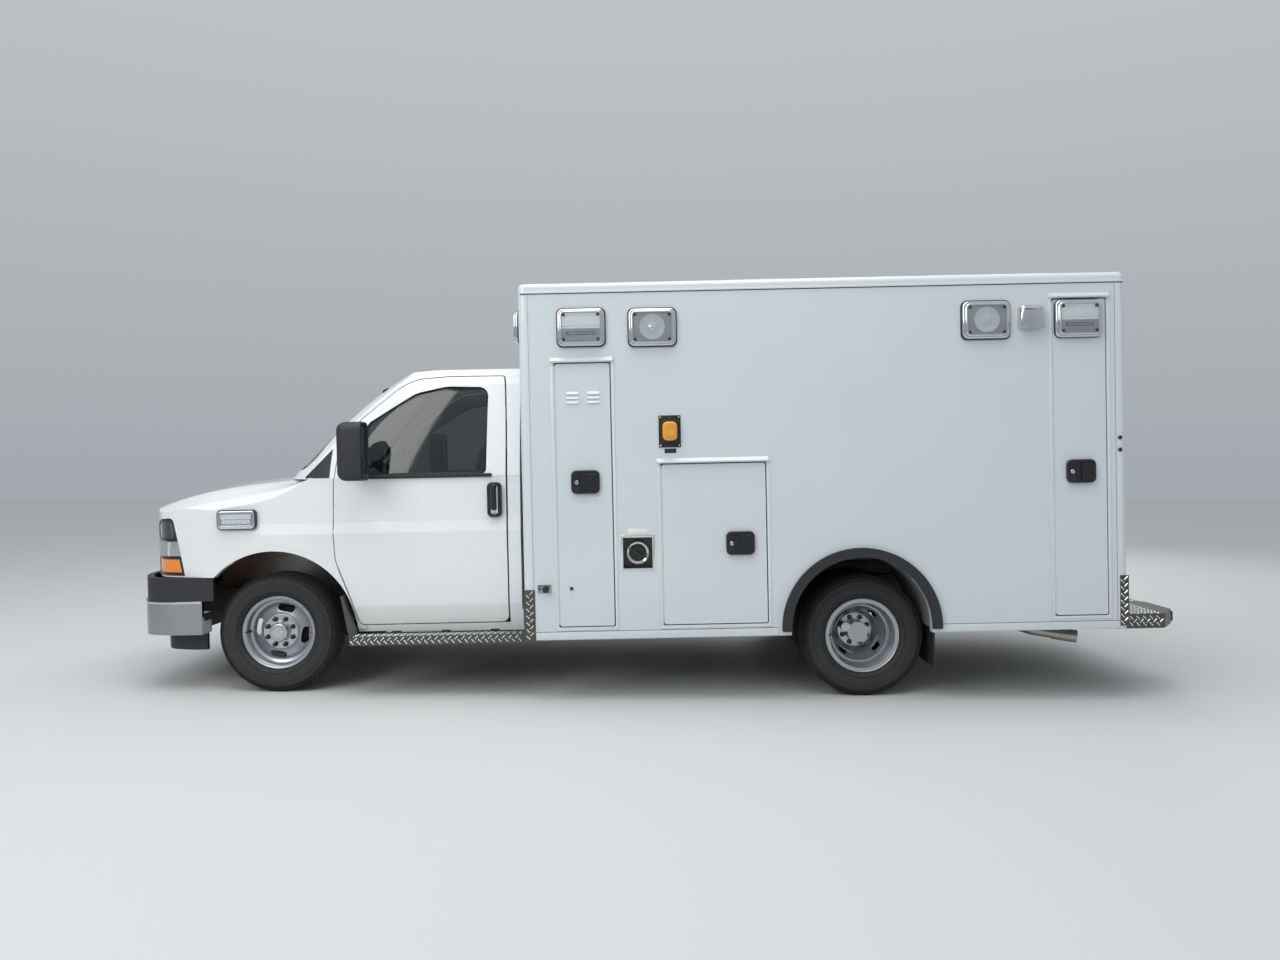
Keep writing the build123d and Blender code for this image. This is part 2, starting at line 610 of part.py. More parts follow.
rear_drip = along_y(
    [
        (BOX_REAR_X - 1, REAR_DOOR_Z1 + 8, 0),
        (BOX_REAR_X + 19, REAR_DOOR_Z1 + 8, 0),
        (BOX_REAR_X + 21, REAR_DOOR_Z1 + 16, 0),
        (BOX_REAR_X + 5, REAR_DOOR_Z1 + 36, 0),
        (BOX_REAR_X - 1, REAR_DOOR_Z1 + 36, 0),
    ],
    -REAR_DOOR_HALF_W - 20,
    REAR_DOOR_HALF_W + 20,
)
sprung["box_wall_rear"] = (box_skin & rear_wall_zone) - rear_hole + rear_pin + other_side(rear_pin) + rear_drip
rear_panel = along_x(rect_rows(-REAR_DOOR_HALF_W, -GAP / 2, REAR_DOOR_Z0, REAR_DOOR_Z1, 10), BOX_REAR_X - DOOR_T, BOX_REAR_X)
REAR_PANE = (-REAR_DOOR_HALF_W + 90, -110, 1500, 2080)
rear_panel = rear_panel - along_x(rect_rows(*REAR_PANE, 50), BOX_REAR_X - BOX_WALL, BOX_REAR_X + 10)
rear_pad = along_x(rect_rows(-165, -45, 1180, 1330, 30), BOX_REAR_X - 4, BOX_REAR_X + HANDLE_OUT)
rear_door_left = rear_panel + rear_pad
sprung["rear_door_left"] = rear_door_left
sprung["rear_door_right"] = other_side(rear_door_left)
pane = along_x(
    rect_rows(REAR_PANE[0] + SEAT, REAR_PANE[1] - SEAT, REAR_PANE[2] + SEAT, REAR_PANE[3] - SEAT, 50),
    BOX_REAR_X - DOOR_T / 2 - 4,
    BOX_REAR_X - DOOR_T / 2 + 4,
)
sprung["rear_door_glass_left"] = pane
sprung["rear_door_glass_right"] = other_side(pane)

left_gap, front_gap, rear_gap, roof_gap = panel_zones(0)
extrusions = box_skin - left_gap - other_side(left_gap) - front_gap - rear_gap - roof_gap - rear_arch
extrusions = extrusions - block(BOX_FRONT_X - 10, PANEL_X[0], -PANEL_Y, PANEL_Y, 0, FRONT_WALL_Z)
for x in PANEL_X:
    extrusions = extrusions - block(x - SEAT / 2, x + SEAT / 2, -1300, 1300, 0, 2500)
for z in PANEL_Z:
    extrusions = extrusions - block(1000, 5500, -1300, 1300, z - SEAT / 2, z + SEAT / 2)
sprung["box_frame"] = Compound(children=[piece for piece in extrusions.solids() if piece.volume > 40000])
sprung["box_roof"] = box_skin & roof_zone

# Floor of the box and its cross members
CROSS_X = [1640, 2200, 2760, 3080, 3990, 4560, 4940]
CROSS_HALF_W = INSIDE_HALF_W - 540
WHEELHOUSE_T = 12
WHEELHOUSE_IN_Y = 632
arch_x = REAR_AXLE_X - 34
floor_plate = block(BOX_FRONT_X + BOX_WALL + SEAT, BOX_REAR_X - BOX_WALL - SEAT, -INSIDE_HALF_W + SEAT, INSIDE_HALF_W - SEAT, BOX_FLOOR_Z, BOX_FLOOR_Z + BOX_FLOOR_T)
for side, _, x0, x1, _, _, depth, _, _ in BOX_DOORS:
    if depth:
        y_in, y_out = sorted((side * (INSIDE_HALF_W - depth - SEAT), side * 1300))
        reach = GAP + LINER_T + SEAT
        floor_plate = floor_plate - block(x0 - reach, x1 + reach, y_in, y_out, 600, 900)
floor_plate = floor_plate - block(FUEL[0] - 14 - SEAT, FUEL[1] + 14 + SEAT, -1300, -INSIDE_HALF_W + 60 + SEAT, 600, 900)
house_out = Pos(arch_x, -(INSIDE_HALF_W - SEAT + WHEELHOUSE_IN_Y) / 2, REAR_ARCH_Z) * Rot(90, 0, 0) * Cylinder(REAR_ARCH_R + WHEELHOUSE_T, INSIDE_HALF_W - SEAT - WHEELHOUSE_IN_Y)
house_in = Pos(arch_x, -(1300 + WHEELHOUSE_IN_Y + WHEELHOUSE_T) / 2, REAR_ARCH_Z) * Rot(90, 0, 0) * Cylinder(REAR_ARCH_R, 1300 - WHEELHOUSE_IN_Y - WHEELHOUSE_T)
house_low = block(arch_x - 600, arch_x + 600, -1300, 0, -200, 349)
house_foot = block(arch_x - 600, arch_x + 600, -WHEELHOUSE_IN_Y - WHEELHOUSE_T, 0, 0, BOX_FLOOR_Z)
wheelhouse = house_out - house_in - house_low - house_foot
box_floor = floor_plate - house_in - other_side(house_in) + wheelhouse + other_side(wheelhouse)
sprung["box_floor"] = box_floor

# Arch flares and mud flaps
FLARE_W = 55
FLARE_OUT = 26
flare = Pos(arch_x, 0, REAR_ARCH_Z) * Rot(90, 0, 0) * Cylinder(REAR_ARCH_R + FLARE_W, 2 * (BOX_HALF_W + FLARE_OUT))
flare = flare - Pos(arch_x, 0, REAR_ARCH_Z) * Rot(90, 0, 0) * Cylinder(REAR_ARCH_R, 2 * (BOX_HALF_W + FLARE_OUT) + 10)
flare = flare - block(2500, 4500, -BOX_HALF_W - SEAT, BOX_HALF_W + SEAT, 0, 1200)
flare = flare - block(2500, 4500, -1400, 1400, -200, 349)
FLAP_X = arch_x + REAR_ARCH_R + WHEELHOUSE_T + 16
flap = block(FLAP_X, FLAP_X + 10, -INSIDE_HALF_W + 30, -660, 104, BOX_FLOOR_Z - SEAT)
sprung["arch_flares"] = Compound(children=[*flare.solids(), *pair(flap).solids()])

# Rear step: fixed frame with wings, and the centre that flips up
wing = along_z(
    [
        (STEP_FRONT_X, -STEP_HALF_W, 0),
        (STEP_FRONT_X + 300, -STEP_HALF_W, 20),
        (STEP_FRONT_X + STEP_DEPTH, -STEP_HALF_W + 160, 20),
        (STEP_FRONT_X + STEP_DEPTH, -STEP_FLIP_HALF_W - FLIP_GAP, 0),
        (STEP_FRONT_X, -STEP_FLIP_HALF_W - FLIP_GAP, 0),
    ],
    STEP_TOP_Z - STEP_T,
    STEP_TOP_Z,
)
wing = wing + block(STEP_FRONT_X + STEP_DEPTH - 1, REAR_X, -STEP_HALF_W + 190, -STEP_FLIP_HALF_W - FLIP_GAP, STEP_TOP_Z - 80, STEP_TOP_Z - 20)
spine = block(STEP_FRONT_X, STEP_FRONT_X + 40, -STEP_FLIP_HALF_W - FLIP_GAP - 1, STEP_FLIP_HALF_W + FLIP_GAP + 1, STEP_TOP_Z - STEP_T, STEP_TOP_Z - 36 - SEAT)
sprung["rear_step"] = wing + other_side(wing) + spine
FLIP_X0 = STEP_FRONT_X + 14
flip = block(FLIP_X0, FLIP_X0 + STEP_FLIP_DEPTH, -STEP_FLIP_HALF_W, STEP_FLIP_HALF_W, STEP_TOP_Z - 36, STEP_TOP_Z)
sprung["rear_step_centre"] = flip

# Frame rails with a tow eye under the tail of each
rail_rows = [
    (-RAIL_Y - RAIL_W / 2, RAIL_TOP_Z - RAIL_H_CHASSIS, 0),
    (-RAIL_Y + RAIL_W / 2, RAIL_TOP_Z - RAIL_H_CHASSIS, 0),
    (-RAIL_Y + RAIL_W / 2, RAIL_TOP_Z - RAIL_H_CHASSIS + RAIL_T, 0),
    (-RAIL_Y - RAIL_W / 2 + RAIL_T, RAIL_TOP_Z - RAIL_H_CHASSIS + RAIL_T, 0),
    (-RAIL_Y - RAIL_W / 2 + RAIL_T, RAIL_TOP_Z - RAIL_T, 0),
    (-RAIL_Y + RAIL_W / 2, RAIL_TOP_Z - RAIL_T, 0),
    (-RAIL_Y + RAIL_W / 2, RAIL_TOP_Z, 0),
    (-RAIL_Y - RAIL_W / 2, RAIL_TOP_Z, 0),
]
rail = along_x(rail_rows, RAIL_FRONT_X, RAIL_REAR_X)
EYE_R = 14
EYE_X = RAIL_REAR_X - 50
EYE_Z = 262
EYE_T = 16
eye_y = -RAIL_Y - RAIL_W / 2 + EYE_T / 2
lug = along_y(
    [
        (EYE_X - 44, RAIL_TOP_Z - RAIL_H_CHASSIS + RAIL_T, 0),
        (EYE_X - 30, EYE_Z - 30, 30),
        (EYE_X + 30, EYE_Z - 30, 30),
        (EYE_X + 44, RAIL_TOP_Z - RAIL_H_CHASSIS + RAIL_T, 0),
    ],
    eye_y - EYE_T / 2,
    eye_y + EYE_T / 2,
)
eye = Pos(EYE_X, eye_y, EYE_Z) * Rot(90, 0, 0) * Cylinder(EYE_R, EYE_T + 4)
rail = rail + lug - eye
rails = rail + other_side(rail)
LEAF_HALF = 640
LEAF_Z = TYRE_R + 45 + SEAT
LEAF_H = 50
for x in (WHEELBASE - LEAF_HALF + 30, WHEELBASE + LEAF_HALF - 30):
    foot_z = LEAF_Z + LEAF_H - x * math.tan(TIP) + 0.9
    hanger = block(x - 20, x + 20, -RAIL_Y - 20, -RAIL_Y + 20, foot_z, RAIL_TOP_Z - RAIL_H_CHASSIS + 2)
    rails = rails + hanger + other_side(hanger)
SPRING_Y = 560
SPRING_R = 55
SPRING_TOP_Z = RAIL_TOP_Z - 1 - SEAT - SPRING_R * math.tan(TIP)
tower = block(-70, 70, -SPRING_Y - SPRING_R - 10, -RAIL_Y, RAIL_TOP_Z - 1, RAIL_TOP_Z + 12)
rails = rails + tower + other_side(tower)
sprung["frame_rails"] = rails

# Cross members of the frame, then those that carry the box floor
members = []
for x in [-780, -300, 1300, 1900, 2960, 4200, 4900]:
    web_y = RAIL_Y + RAIL_W / 2 - RAIL_T - SEAT
    members += block(x - 35, x + 35, -web_y, web_y, RAIL_TOP_Z - 80, RAIL_TOP_Z - 20).solids()
for x in CROSS_X:
    low_z = RAIL_TOP_Z + SEAT
    members += block(x - 30, x + 30, -CROSS_HALF_W, CROSS_HALF_W, low_z, BOX_FLOOR_Z - SEAT).solids()
sprung["cross_members"] = Compound(children=members)

# Engine block with its gearbox, fuel tank and exhaust
ENGINE_REAR_X = 130
GEARBOX_REAR_X = 560
engine = block(-620, ENGINE_REAR_X, -280, 280, RAIL_TOP_Z - 20 + SEAT, 1040)
gearbox = block(ENGINE_REAR_X, GEARBOX_REAR_X, -110, 110, 400, RAIL_TOP_Z - 10)
bell = block(ENGINE_REAR_X - 120, ENGINE_REAR_X + 1, -110, 110, 400, RAIL_TOP_Z + 40)
engine = engine + gearbox + bell
tank = block(2375, 2899, -RAIL_Y + 42, -75, 270, RAIL_TOP_Z - 80 - SEAT)
tank = fillet(tank.edges().filter_by(Axis.X), 40)
for x in (2450, 2780):
    tank = tank + block(x, x + 40, -RAIL_Y + 10, -RAIL_Y + 60, RAIL_TOP_Z - RAIL_H_CHASSIS + RAIL_T, 460)
sprung["fuel_tank"] = tank

EXHAUST_R = 32
EXHAUST_RUN = [
    # x, y, z of the pipe's bends
    (60, 240, 600),
    (150, 240, 470),
    (700, 250, 400),
    (1350, 250, 400),
    (3950, 250, 400),
    (4100, 180, 395),
    (4460, -780, 318),
    (4600, -930, 280),
    (4810, -1000, 250),
]
exhaust = None
for start, end in zip(EXHAUST_RUN, EXHAUST_RUN[1:]):
    pipe = rod(*start, *end, EXHAUST_R) + Pos(*end) * Sphere(EXHAUST_R)
    exhaust = pipe if exhaust is None else exhaust + pipe
muffler = rod(1450, 250, 390, 2050, 250, 390, 95)
sprung["engine_and_exhaust"] = engine + exhaust + muffler

# Bumper, seen from above: a band that wraps round to the front wheels
BUMPER_PLAN = [
    (BUMPER_NOSE_X, 0, 3000),
    (BUMPER_NOSE_X + 52, -700, 600),
    (-804, -930, 150),
    (-640, -985, 300),
    (-375, -985, 0),
]


def bumper_band(back_x, z0, z1, inset, t):
    """One band of the bumper from its nose back to back_x."""
    outer = []
    inner = []
    for x, y, r in BUMPER_PLAN:
        x = min(x, back_x)
        outer.append((x + inset * (x < back_x), y + inset * (abs(y) > 1), r))
        inner.append((x + (inset + t) * (x < back_x), y + (inset + t) * (abs(y) > 1), r))
    outer[-1] = (back_x, outer[-1][1], 0)
    inner[-1] = (back_x + 1, inner[-1][1], 0)
    return along_z(mirror_y(outer), z0, z1) - along_z(mirror_y(inner), z0 - 1, z1 + 1)


BUMPER_T = 30
DAM_INSET = 95
bumper_horn = block(BUMPER_NOSE_X + 40, RAIL_FRONT_X - SEAT, -RAIL_Y - RAIL_W / 2, -RAIL_Y + RAIL_W / 2, 440, 556)
bumper_low = bumper_band(-444, 361, 440, 0, DAM_INSET + BUMPER_T + 5)
low_slope = [(BUMPER_NOSE_X - 20, 446, 0), (BUMPER_NOSE_X - 20, 340, 0), (BUMPER_NOSE_X + 125, 340, 0)]
low_room = [(BUMPER_NOSE_X + 30, 442, 0), (BUMPER_NOSE_X + 110, 377, 0), (-300, 377, 0), (-300, 442, 0)]
bumper_low = bumper_low - along_y(low_slope, -1100, 1100)
bumper_low = bumper_low - along_y(low_room, -700, 700)
bumper = bumper_band(-444, 439, 563, 0, BUMPER_T) + bumper_low
sprung["front_bumper"] = bumper + bumper_horn + other_side(bumper_horn)
cover = bumper_band(-375, 563 + SEAT, NOSE_UNDER_Z - SEAT, 6, BUMPER_T)
cover_slope = [(BUMPER_NOSE_X - 20, 668, 0), (BUMPER_NOSE_X + 26, NOSE_UNDER_Z + 4, 0), (BUMPER_NOSE_X - 20, NOSE_UNDER_Z + 4, 0)]
cover = cover - along_y(cover_slope, -1100, 1100)
dam = bumper_band(-458, 254, 361 - SEAT, DAM_INSET, BUMPER_T)
sprung["bumper_cover"] = Compound(children=[*cover.solids(), *dam.solids()])

# Headlamps follow the nose's skin, above the marker lamps
lamp_band = lower_body(3) - lower_body(70)
lamp_zone = along_y([(-1000, 932, 0), (-607.9, 932, 0), (-639, 1064, 20), (-1000, 1040, 0)], -1100, -646)
lamp_heads = pair((lamp_band & lamp_zone) - hood_cut)
marker_zone = along_y([(-1000, 722, 0), (-561.7, 722, 0), (-585.6, 832, 0), (-1000, 832, 0)], -1100, -646)
marker_heads = pair(lamp_band & marker_zone)
side_zone = along_y(rect_rows(-321, -94, 1000, 1112, 24), -1100, -900)
side_heads = pair((lower_body(-14) - lower_body(-SEAT)) & side_zone)
sprung["headlamps"] = Compound(children=[*lamp_heads.solids(), *marker_heads.solids(), *side_heads.solids()])
bar_zone = along_y([(-1000, 838, 0), (-586.9, 838, 0), (-606.5, 926, 0), (-1000, 926, 0)], -1100, 1100)
bar = (lower_body(-6) - lower_body(40)) & bar_zone
grille_back = lower_body(60)
grille_band = lower_body(16) - grille_back
rib_band = lower_body(30) - grille_back
GRILLE_REAR_X = CAB_NOSE_X + 160
grille = bar
for z0, z1 in [(722, 760), (780, 800), (818, 832), (934, 952), (970, 990), (1008, 1034)]:
    grille = grille + (grille_band & block(-1100, GRILLE_REAR_X, -634, 634, z0, z1))
for y in (-626, -310, 0, 310, 626):
    for z0, z1 in ((722, 845), (920, 1034)):
        grille = grille + (rib_band & block(-1100, GRILLE_REAR_X, y - 8, y + 8, z0, z1))

# Rubber buffers on the grille that the closed hood's lip rests on
for y in (-400, 400):
    grille = grille + (grille_band & block(-1100, GRILLE_REAR_X, y - 15, y + 15, 1030, HOOD_FRONT_Z - SEAT))
sprung["grille"] = grille

# Mirrors on two arms from the front of each door
MIRROR_Y = 1200
head = along_x(rect_rows(-MIRROR_Y - 60, -MIRROR_Y + 110, 1278, 1620, 50), 540, 622)
head = head + along_x(rect_rows(-MIRROR_Y - 40, -MIRROR_Y + 90, 1300, 1596, 40), 470, 545)
arm_low = rod(480, -960, 1340, 560, -MIRROR_Y + 60, 1360, 16)
arm_high = rod(500, -930, 1500, 575, -MIRROR_Y + 60, 1540, 16)
mirror_left = head + arm_low + arm_high
mirror_left = mirror_left - lower_body(-SEAT) - greenhouse(-SEAT)
sail_zone = along_y([(398, 1302, 6), (530, 1302, 6), (540, 1604, 6), (418, 1400, 20)], -1100, -850)
mirror_left = mirror_left + ((greenhouse(-8) - greenhouse(-SEAT)) & sail_zone)
sprung["mirror_left"] = mirror_left
sprung["mirror_right"] = other_side(mirror_left)

# Running boards with splash plates
BOARD_Z = (298, 350)
BOARD_OUT_Y = 1110
board = block(480, 1512, -BOARD_OUT_Y, -CAB_HALF_W + 46, *BOARD_Z)
splash = along_y([(470, BOARD_Z[0], 0), (520, BOARD_Z[0], 0), (500, 380, 0), (430, 588, 0), (418, 588, 0)], -1056, -CAB_HALF_W - 4)
for x in (700, 1000, 1300):
    board = board + block(x, x + 50, -CAB_HALF_W + 46, -CAB_HALF_W + 76, BOARD_Z[0] + 20, SILL_Z - SEAT)
boards = pair(board + splash)

# Corner guards on the box skirt
guard_front = block(BOX_FRONT_X - 3, BOX_FRONT_X + 64, -BOX_HALF_W - 3 - SEAT, -BOX_HALF_W - SEAT, 323, 621)
guard_rear = block(5011, 5061, -BOX_HALF_W - 3 - SEAT, -BOX_HALF_W - SEAT, 342, 636)
sprung["bright_trim"] = Compound(
    children=[*boards.solids(), *pair(guard_front).solids(), *pair(guard_rear).solids(), *fuel_filler.solids()]
)

# Lamps on the box: x0, x1, z0, z1 for the sides, y0, y1, z0, z1 for the ends
LEFT_LAMPS = [(1765, 2041, 2030, 2248), (2178, 2452, 2022, 2242), (4107, 4383, 2024, 2242)]
RIGHT_LAMPS = [(1737, 2013, 2140, 2340), (3100, 3374, 2022, 2242), (4107, 4383, 2024, 2242), (4648, 4912, 2026, 2236)]
lamps = []
for side, table in ((-1, LEFT_LAMPS), (1, RIGHT_LAMPS)):
    low, high = sorted((side * (BOX_HALF_W + SEAT), side * (BOX_HALF_W + LAMP_OUT)))
    for x0, x1, z0, z1 in table:
        lamps += along_y(rect_rows(x0, x1, z0, z1, 24), low, high).solids()

# Round courtesy lamp near the rear of each side
DOME_ROWS = [(0, 0, 0), (71, 0, 0), (71, 6, 0), (52, 30, 40), (0, 36, 0)]
dome = revolve(Plane.XZ * face_of(DOME_ROWS), axis=Axis.Z)
dome_at = Pos(4501, -BOX_HALF_W - SEAT, 2142) * Rot(90, 0, 0)
lamps += pair(dome_at * dome).solids()
END_LAMPS = [(890, 1120, 2060, 2270), (560, 790, 2120, 2300), (150, 380, 2120, 2300)]
for y0, y1, z0, z1 in END_LAMPS:
    low, high = BOX_FRONT_X - LAMP_OUT, BOX_FRONT_X - SEAT
    lamps += pair(along_x(rect_rows(-y1, -y0, z0, z1, 24), low, high)).solids()
REAR_LAMPS = [(890, 1120, 2060, 2270), (920, 1090, 420, 560), (920, 1090, 580, 690)]
for y0, y1, z0, z1 in REAR_LAMPS:
    low, high = BOX_REAR_X + SEAT, BOX_REAR_X + LAMP_OUT
    lamps += pair(along_x(rect_rows(-y1, -y0, z0, z1, 24), low, high)).solids()
sprung["warning_lamps"] = Compound(children=lamps)

# Cab interior: dash, seats, steering wheel
dash = along_y([(250, 940, 0), (470, 940, 40), (560, 1010, 40), (540, 1180, 40), (430, 1262, 60), (250, 1270, 0)], -880, 880)
sprung["dashboard"] = dash & lower_body(CAB_WALL + SEAT)
SEAT_Y = -450
seat = along_y(
    [
        (860, 860, 40),
        (1180, 840, 40),
        (1340, 1480, 40),
        (1240, 1500, 40),
        (1100, 1000, 40),
        (880, 980, 60),
    ],
    SEAT_Y - 250,
    SEAT_Y + 250,
)
head_rest = along_y(rect_rows(1240, 1330, 1520, 1700, 30), SEAT_Y - 130, SEAT_Y + 130)
stem = block(1270, 1300, SEAT_Y - 60, SEAT_Y + 60, 1440, 1540)
pedestal = block(900, 1200, SEAT_Y - 200, SEAT_Y + 200, CAB_FLOOR_Z + CAB_FLOOR_T + SEAT, 880)
seat = seat + head_rest + stem + pedestal
sprung["cab_seats"] = pair(seat)
STEER_TILT = 32
STEER_AT = (640, -450, 1290)
steer_plane = Pos(*STEER_AT) * Rot(0, STEER_TILT, 0)
ring_rows = [(190 + 15 * math.cos(math.radians(a)), 15 * math.sin(math.radians(a)), 5) for a in range(0, 360, 60)]
ring = steer_plane * revolve(Plane.XZ * face_of(ring_rows), axis=Axis.Z)
spokes = steer_plane * (Box(360, 40, 14) + Box(40, 360, 14) + Cylinder(60, 40))
sprung["steering_wheel"] = ring + spokes
column = steer_plane * Pos(0, 0, -20 - SEAT - 150) * Cylinder(28, 300)
sprung["dashboard"] = sprung["dashboard"] + column

# Patient room: squad bench on the right and cabinet on the left
FURNITURE_Z = BOX_FLOOR_Z + BOX_FLOOR_T + SEAT
bench = block(3150, 4350, 640, INSIDE_HALF_W - SEAT, FURNITURE_Z + 60, 1180)
cabinet = block(2110, 4590, -INSIDE_HALF_W + SEAT, -700, 1400, BOX_TOP_Z - BOX_WALL - SEAT)
sprung["patient_furniture"] = Compound(children=[*bench.solids(), *cabinet.solids()])

# Tyres and wheels, turned about their own axle at the origin, outer face to -Y
TYRE_ROWS = [
    # y, r, corner radius
    (-RIM_HALF_W + 4 + SEAT, RIM_SEAT_R + SEAT, 0),
    (RIM_HALF_W - 4 - SEAT, RIM_SEAT_R + SEAT, 0),
    (RIM_HALF_W - 4 - SEAT, RIM_FLANGE_R + 2, 0),
    (TYRE_W / 2, RIM_FLANGE_R + 40, 0),
    (TYRE_W / 2, TYRE_R - 48, 0),
    (TYRE_W / 2 - 22, TYRE_R, 0),
    (-TYRE_W / 2 + 22, TYRE_R, 0),
    (-TYRE_W / 2, TYRE_R - 48, 0),
    (-TYRE_W / 2, RIM_FLANGE_R + 40, 0),
    (-RIM_HALF_W + 4 + SEAT, RIM_FLANGE_R + 2, 0),
]
tyre = revolve(Plane.YZ * face_of(TYRE_ROWS), axis=Axis.Y)
RIM_ROWS = [
    (-RIM_HALF_W, RIM_FLANGE_R, 0),
    (-RIM_HALF_W + 4, RIM_FLANGE_R, 0),
    (-RIM_HALF_W + 4, RIM_SEAT_R, 0),
    (-24, RIM_SEAT_R - 20, 0),
    (24, RIM_SEAT_R - 20, 0),
    (RIM_HALF_W - 4, RIM_SEAT_R, 0),
    (RIM_HALF_W - 4, RIM_FLANGE_R, 0),
    (RIM_HALF_W, RIM_FLANGE_R, 0),
    (RIM_HALF_W, RIM_SEAT_R - RIM_T, 0),
    (26, RIM_SEAT_R - 20 - RIM_T, 0),
    (-26, RIM_SEAT_R - 20 - RIM_T, 0),
    (-RIM_HALF_W, RIM_SEAT_R - RIM_T, 0),
]
rim = revolve(Plane.YZ * face_of(RIM_ROWS), axis=Axis.Y)


def disc_of(pad_y, lip_y, hub_y0, hub_y1, nuts=LUG_COUNT):
    """Pressed wheel disc from the hub pad to the rim well, with hand holes, nuts and hub."""
    well_r = RIM_SEAT_R - 20 - RIM_T + 1
    rows = [
        (pad_y, 0, 0),
        (pad_y, 104, 0),
        (lip_y, 168, 0),
        (lip_y, well_r, 0),
        (lip_y + DISC_T, well_r, 0),
        (lip_y + DISC_T, 172, 0),
        (pad_y + DISC_T, 108, 0),
        (pad_y + DISC_T, 0, 0),
    ]
    disc = revolve(Plane.YZ * face_of(rows), axis=Axis.Y)
    for i in range(SLOT_COUNT):
        angle = 45 + 360 / SLOT_COUNT * i
        disc = disc - Rot(0, angle, 0) * Pos(0, 0, 138) * Rot(90, 0, 0) * extrude(SlotOverall(92, 34), amount=300, both=True)
    for i in range(nuts):
        angle = 360 / nuts * (i + 0.5)
        nut = Pos(0, pad_y, LUG_CIRCLE_R) * Rot(90, 0, 0) * extrude(RegularPolygon(11, 6), amount=26)
        disc = disc + Rot(0, angle, 0) * nut
    hub_low, hub_high = sorted((hub_y0, hub_y1))
    hub = Pos(0, (hub_low + hub_high) / 2, 0) * Rot(90, 0, 0) * Cylinder(HUB_R, hub_high - hub_low)
    return disc + hub


FRONT_PAD_Y = -52
front_wheel = rim + disc_of(FRONT_PAD_Y, -8, -96, FRONT_PAD_Y + 4)
front_at = Pos(0, -FRONT_TRACK_Y, TYRE_R)
level["front_tyre_left"] = front_at * tyre
level["front_wheel_left"] = front_at * front_wheel
level["front_tyre_right"] = other_side(front_at * tyre)
level["front_wheel_right"] = other_side(front_at * front_wheel)

MID_Y = REAR_OUTER_Y - DUAL_SPACING / 2
outer_at = Pos(WHEELBASE, -REAR_OUTER_Y, TYRE_R)
inner_at = Pos(WHEELBASE, -REAR_OUTER_Y + DUAL_SPACING, TYRE_R)
pad_out = DUAL_SPACING / 2 - DISC_T
outer_wheel = rim + disc_of(pad_out, 2, 30, pad_out + 4)
inner_disc = mirror(disc_of(pad_out, 2, pad_out, pad_out + 4, nuts=0), about=Plane.XZ)
inner_wheel = rim + inner_disc
duals = outer_at * outer_wheel + inner_at * inner_wheel
level["dual_wheels_left"] = duals
level["dual_tyres_left"] = Compound(children=[*(outer_at * tyre).solids(), *(inner_at * tyre).solids()])
level["dual_wheels_right"] = other_side(duals)
level["dual_tyres_right"] = Compound(children=[*other_side(outer_at * tyre).solids(), *other_side(inner_at * tyre).solids()])

# Steering knuckles: a spindle, an upright and a steering arm on each kingpin
KINGPIN_Y = -735
KINGPIN_HALF_H = 120
SPINDLE_END_Y = -FRONT_TRACK_Y + FRONT_PAD_Y + DISC_T + SEAT
knuckle = rod(0, KINGPIN_Y, TYRE_R, 0, SPINDLE_END_Y, TYRE_R, 30)
knuckle = knuckle + rod(0, KINGPIN_Y, TYRE_R - KINGPIN_HALF_H, 0, KINGPIN_Y, TYRE_R + KINGPIN_HALF_H, 26)
knuckle = knuckle + (Pos(0, -FRONT_TRACK_Y + 30, TYRE_R) * Rot(90, 0, 0) * Cylinder(145, 26))
knuckle = knuckle + block(0, 170, KINGPIN_Y - 12, KINGPIN_Y + 12, TYRE_R - 90, TYRE_R - 66)
level["knuckle_left"] = knuckle
level["knuckle_right"] = other_side(knuckle)

# Front axle beams, coil springs and radius arms
fork_top = block(-30, 30, KINGPIN_Y - 30, KINGPIN_Y + 60, TYRE_R + KINGPIN_HALF_H + SEAT, TYRE_R + 145)
fork_low = block(-30, 30, KINGPIN_Y - 30, KINGPIN_Y + 60, TYRE_R - 145, TYRE_R - KINGPIN_HALF_H - SEAT)
fork_back = block(-30, 30, KINGPIN_Y + 36, KINGPIN_Y + 60, TYRE_R - 145, TYRE_R + 145)
beam = block(-35, 35, KINGPIN_Y + 40, -KINGPIN_Y - 40, TYRE_R - 40, TYRE_R + 30)
front_axle = beam + fork_top + fork_low + fork_back + other_side(fork_top + fork_low + fork_back)
spring_post = rod(0, -SPRING_Y, TYRE_R + 30, 0, -SPRING_Y, SPRING_TOP_Z, SPRING_R)
front_axle = front_axle + spring_post + other_side(spring_post)

# Rear axle with its centre casing, leaf springs
HUB_END_Y = MID_Y - DISC_T - SEAT
rear_axle = rod(WHEELBASE, -HUB_END_Y, TYRE_R, WHEELBASE, HUB_END_Y, TYRE_R, 45)
drum = Pos(WHEELBASE, -REAR_OUTER_Y + DUAL_SPACING + 40, TYRE_R) * Rot(90, 0, 0) * Cylinder(150, 60)
rear_axle = rear_axle + drum + other_side(drum) + Pos(WHEELBASE, 0, TYRE_R) * Sphere(150)
leaf = block(WHEELBASE - LEAF_HALF, WHEELBASE + LEAF_HALF, -RAIL_Y - 32, -RAIL_Y + 32, LEAF_Z, LEAF_Z + LEAF_H)
SHAFT_Z = 478
drive_shaft = rod(GEARBOX_REAR_X + 12, 0, SHAFT_Z, WHEELBASE - 145, 0, TYRE_R + 12, 40)
level["axles"] = Compound(
    children=[*front_axle.solids(), *(rear_axle + drive_shaft).solids(), *pair(leaf).solids()]
)

# Tip the sprung body nose down about the front axle's ground point, then centre the whole
os.makedirs("parts", exist_ok=True)
centre = Pos(-CENTRE_X, 0, 0)
for name, shape in sprung.items():
    export_step(centre * Rot(0, -RAKE, 0) * shape, f"parts/{name}.step")
for name, shape in level.items():
    export_step(centre * shape, f"parts/{name}.step")
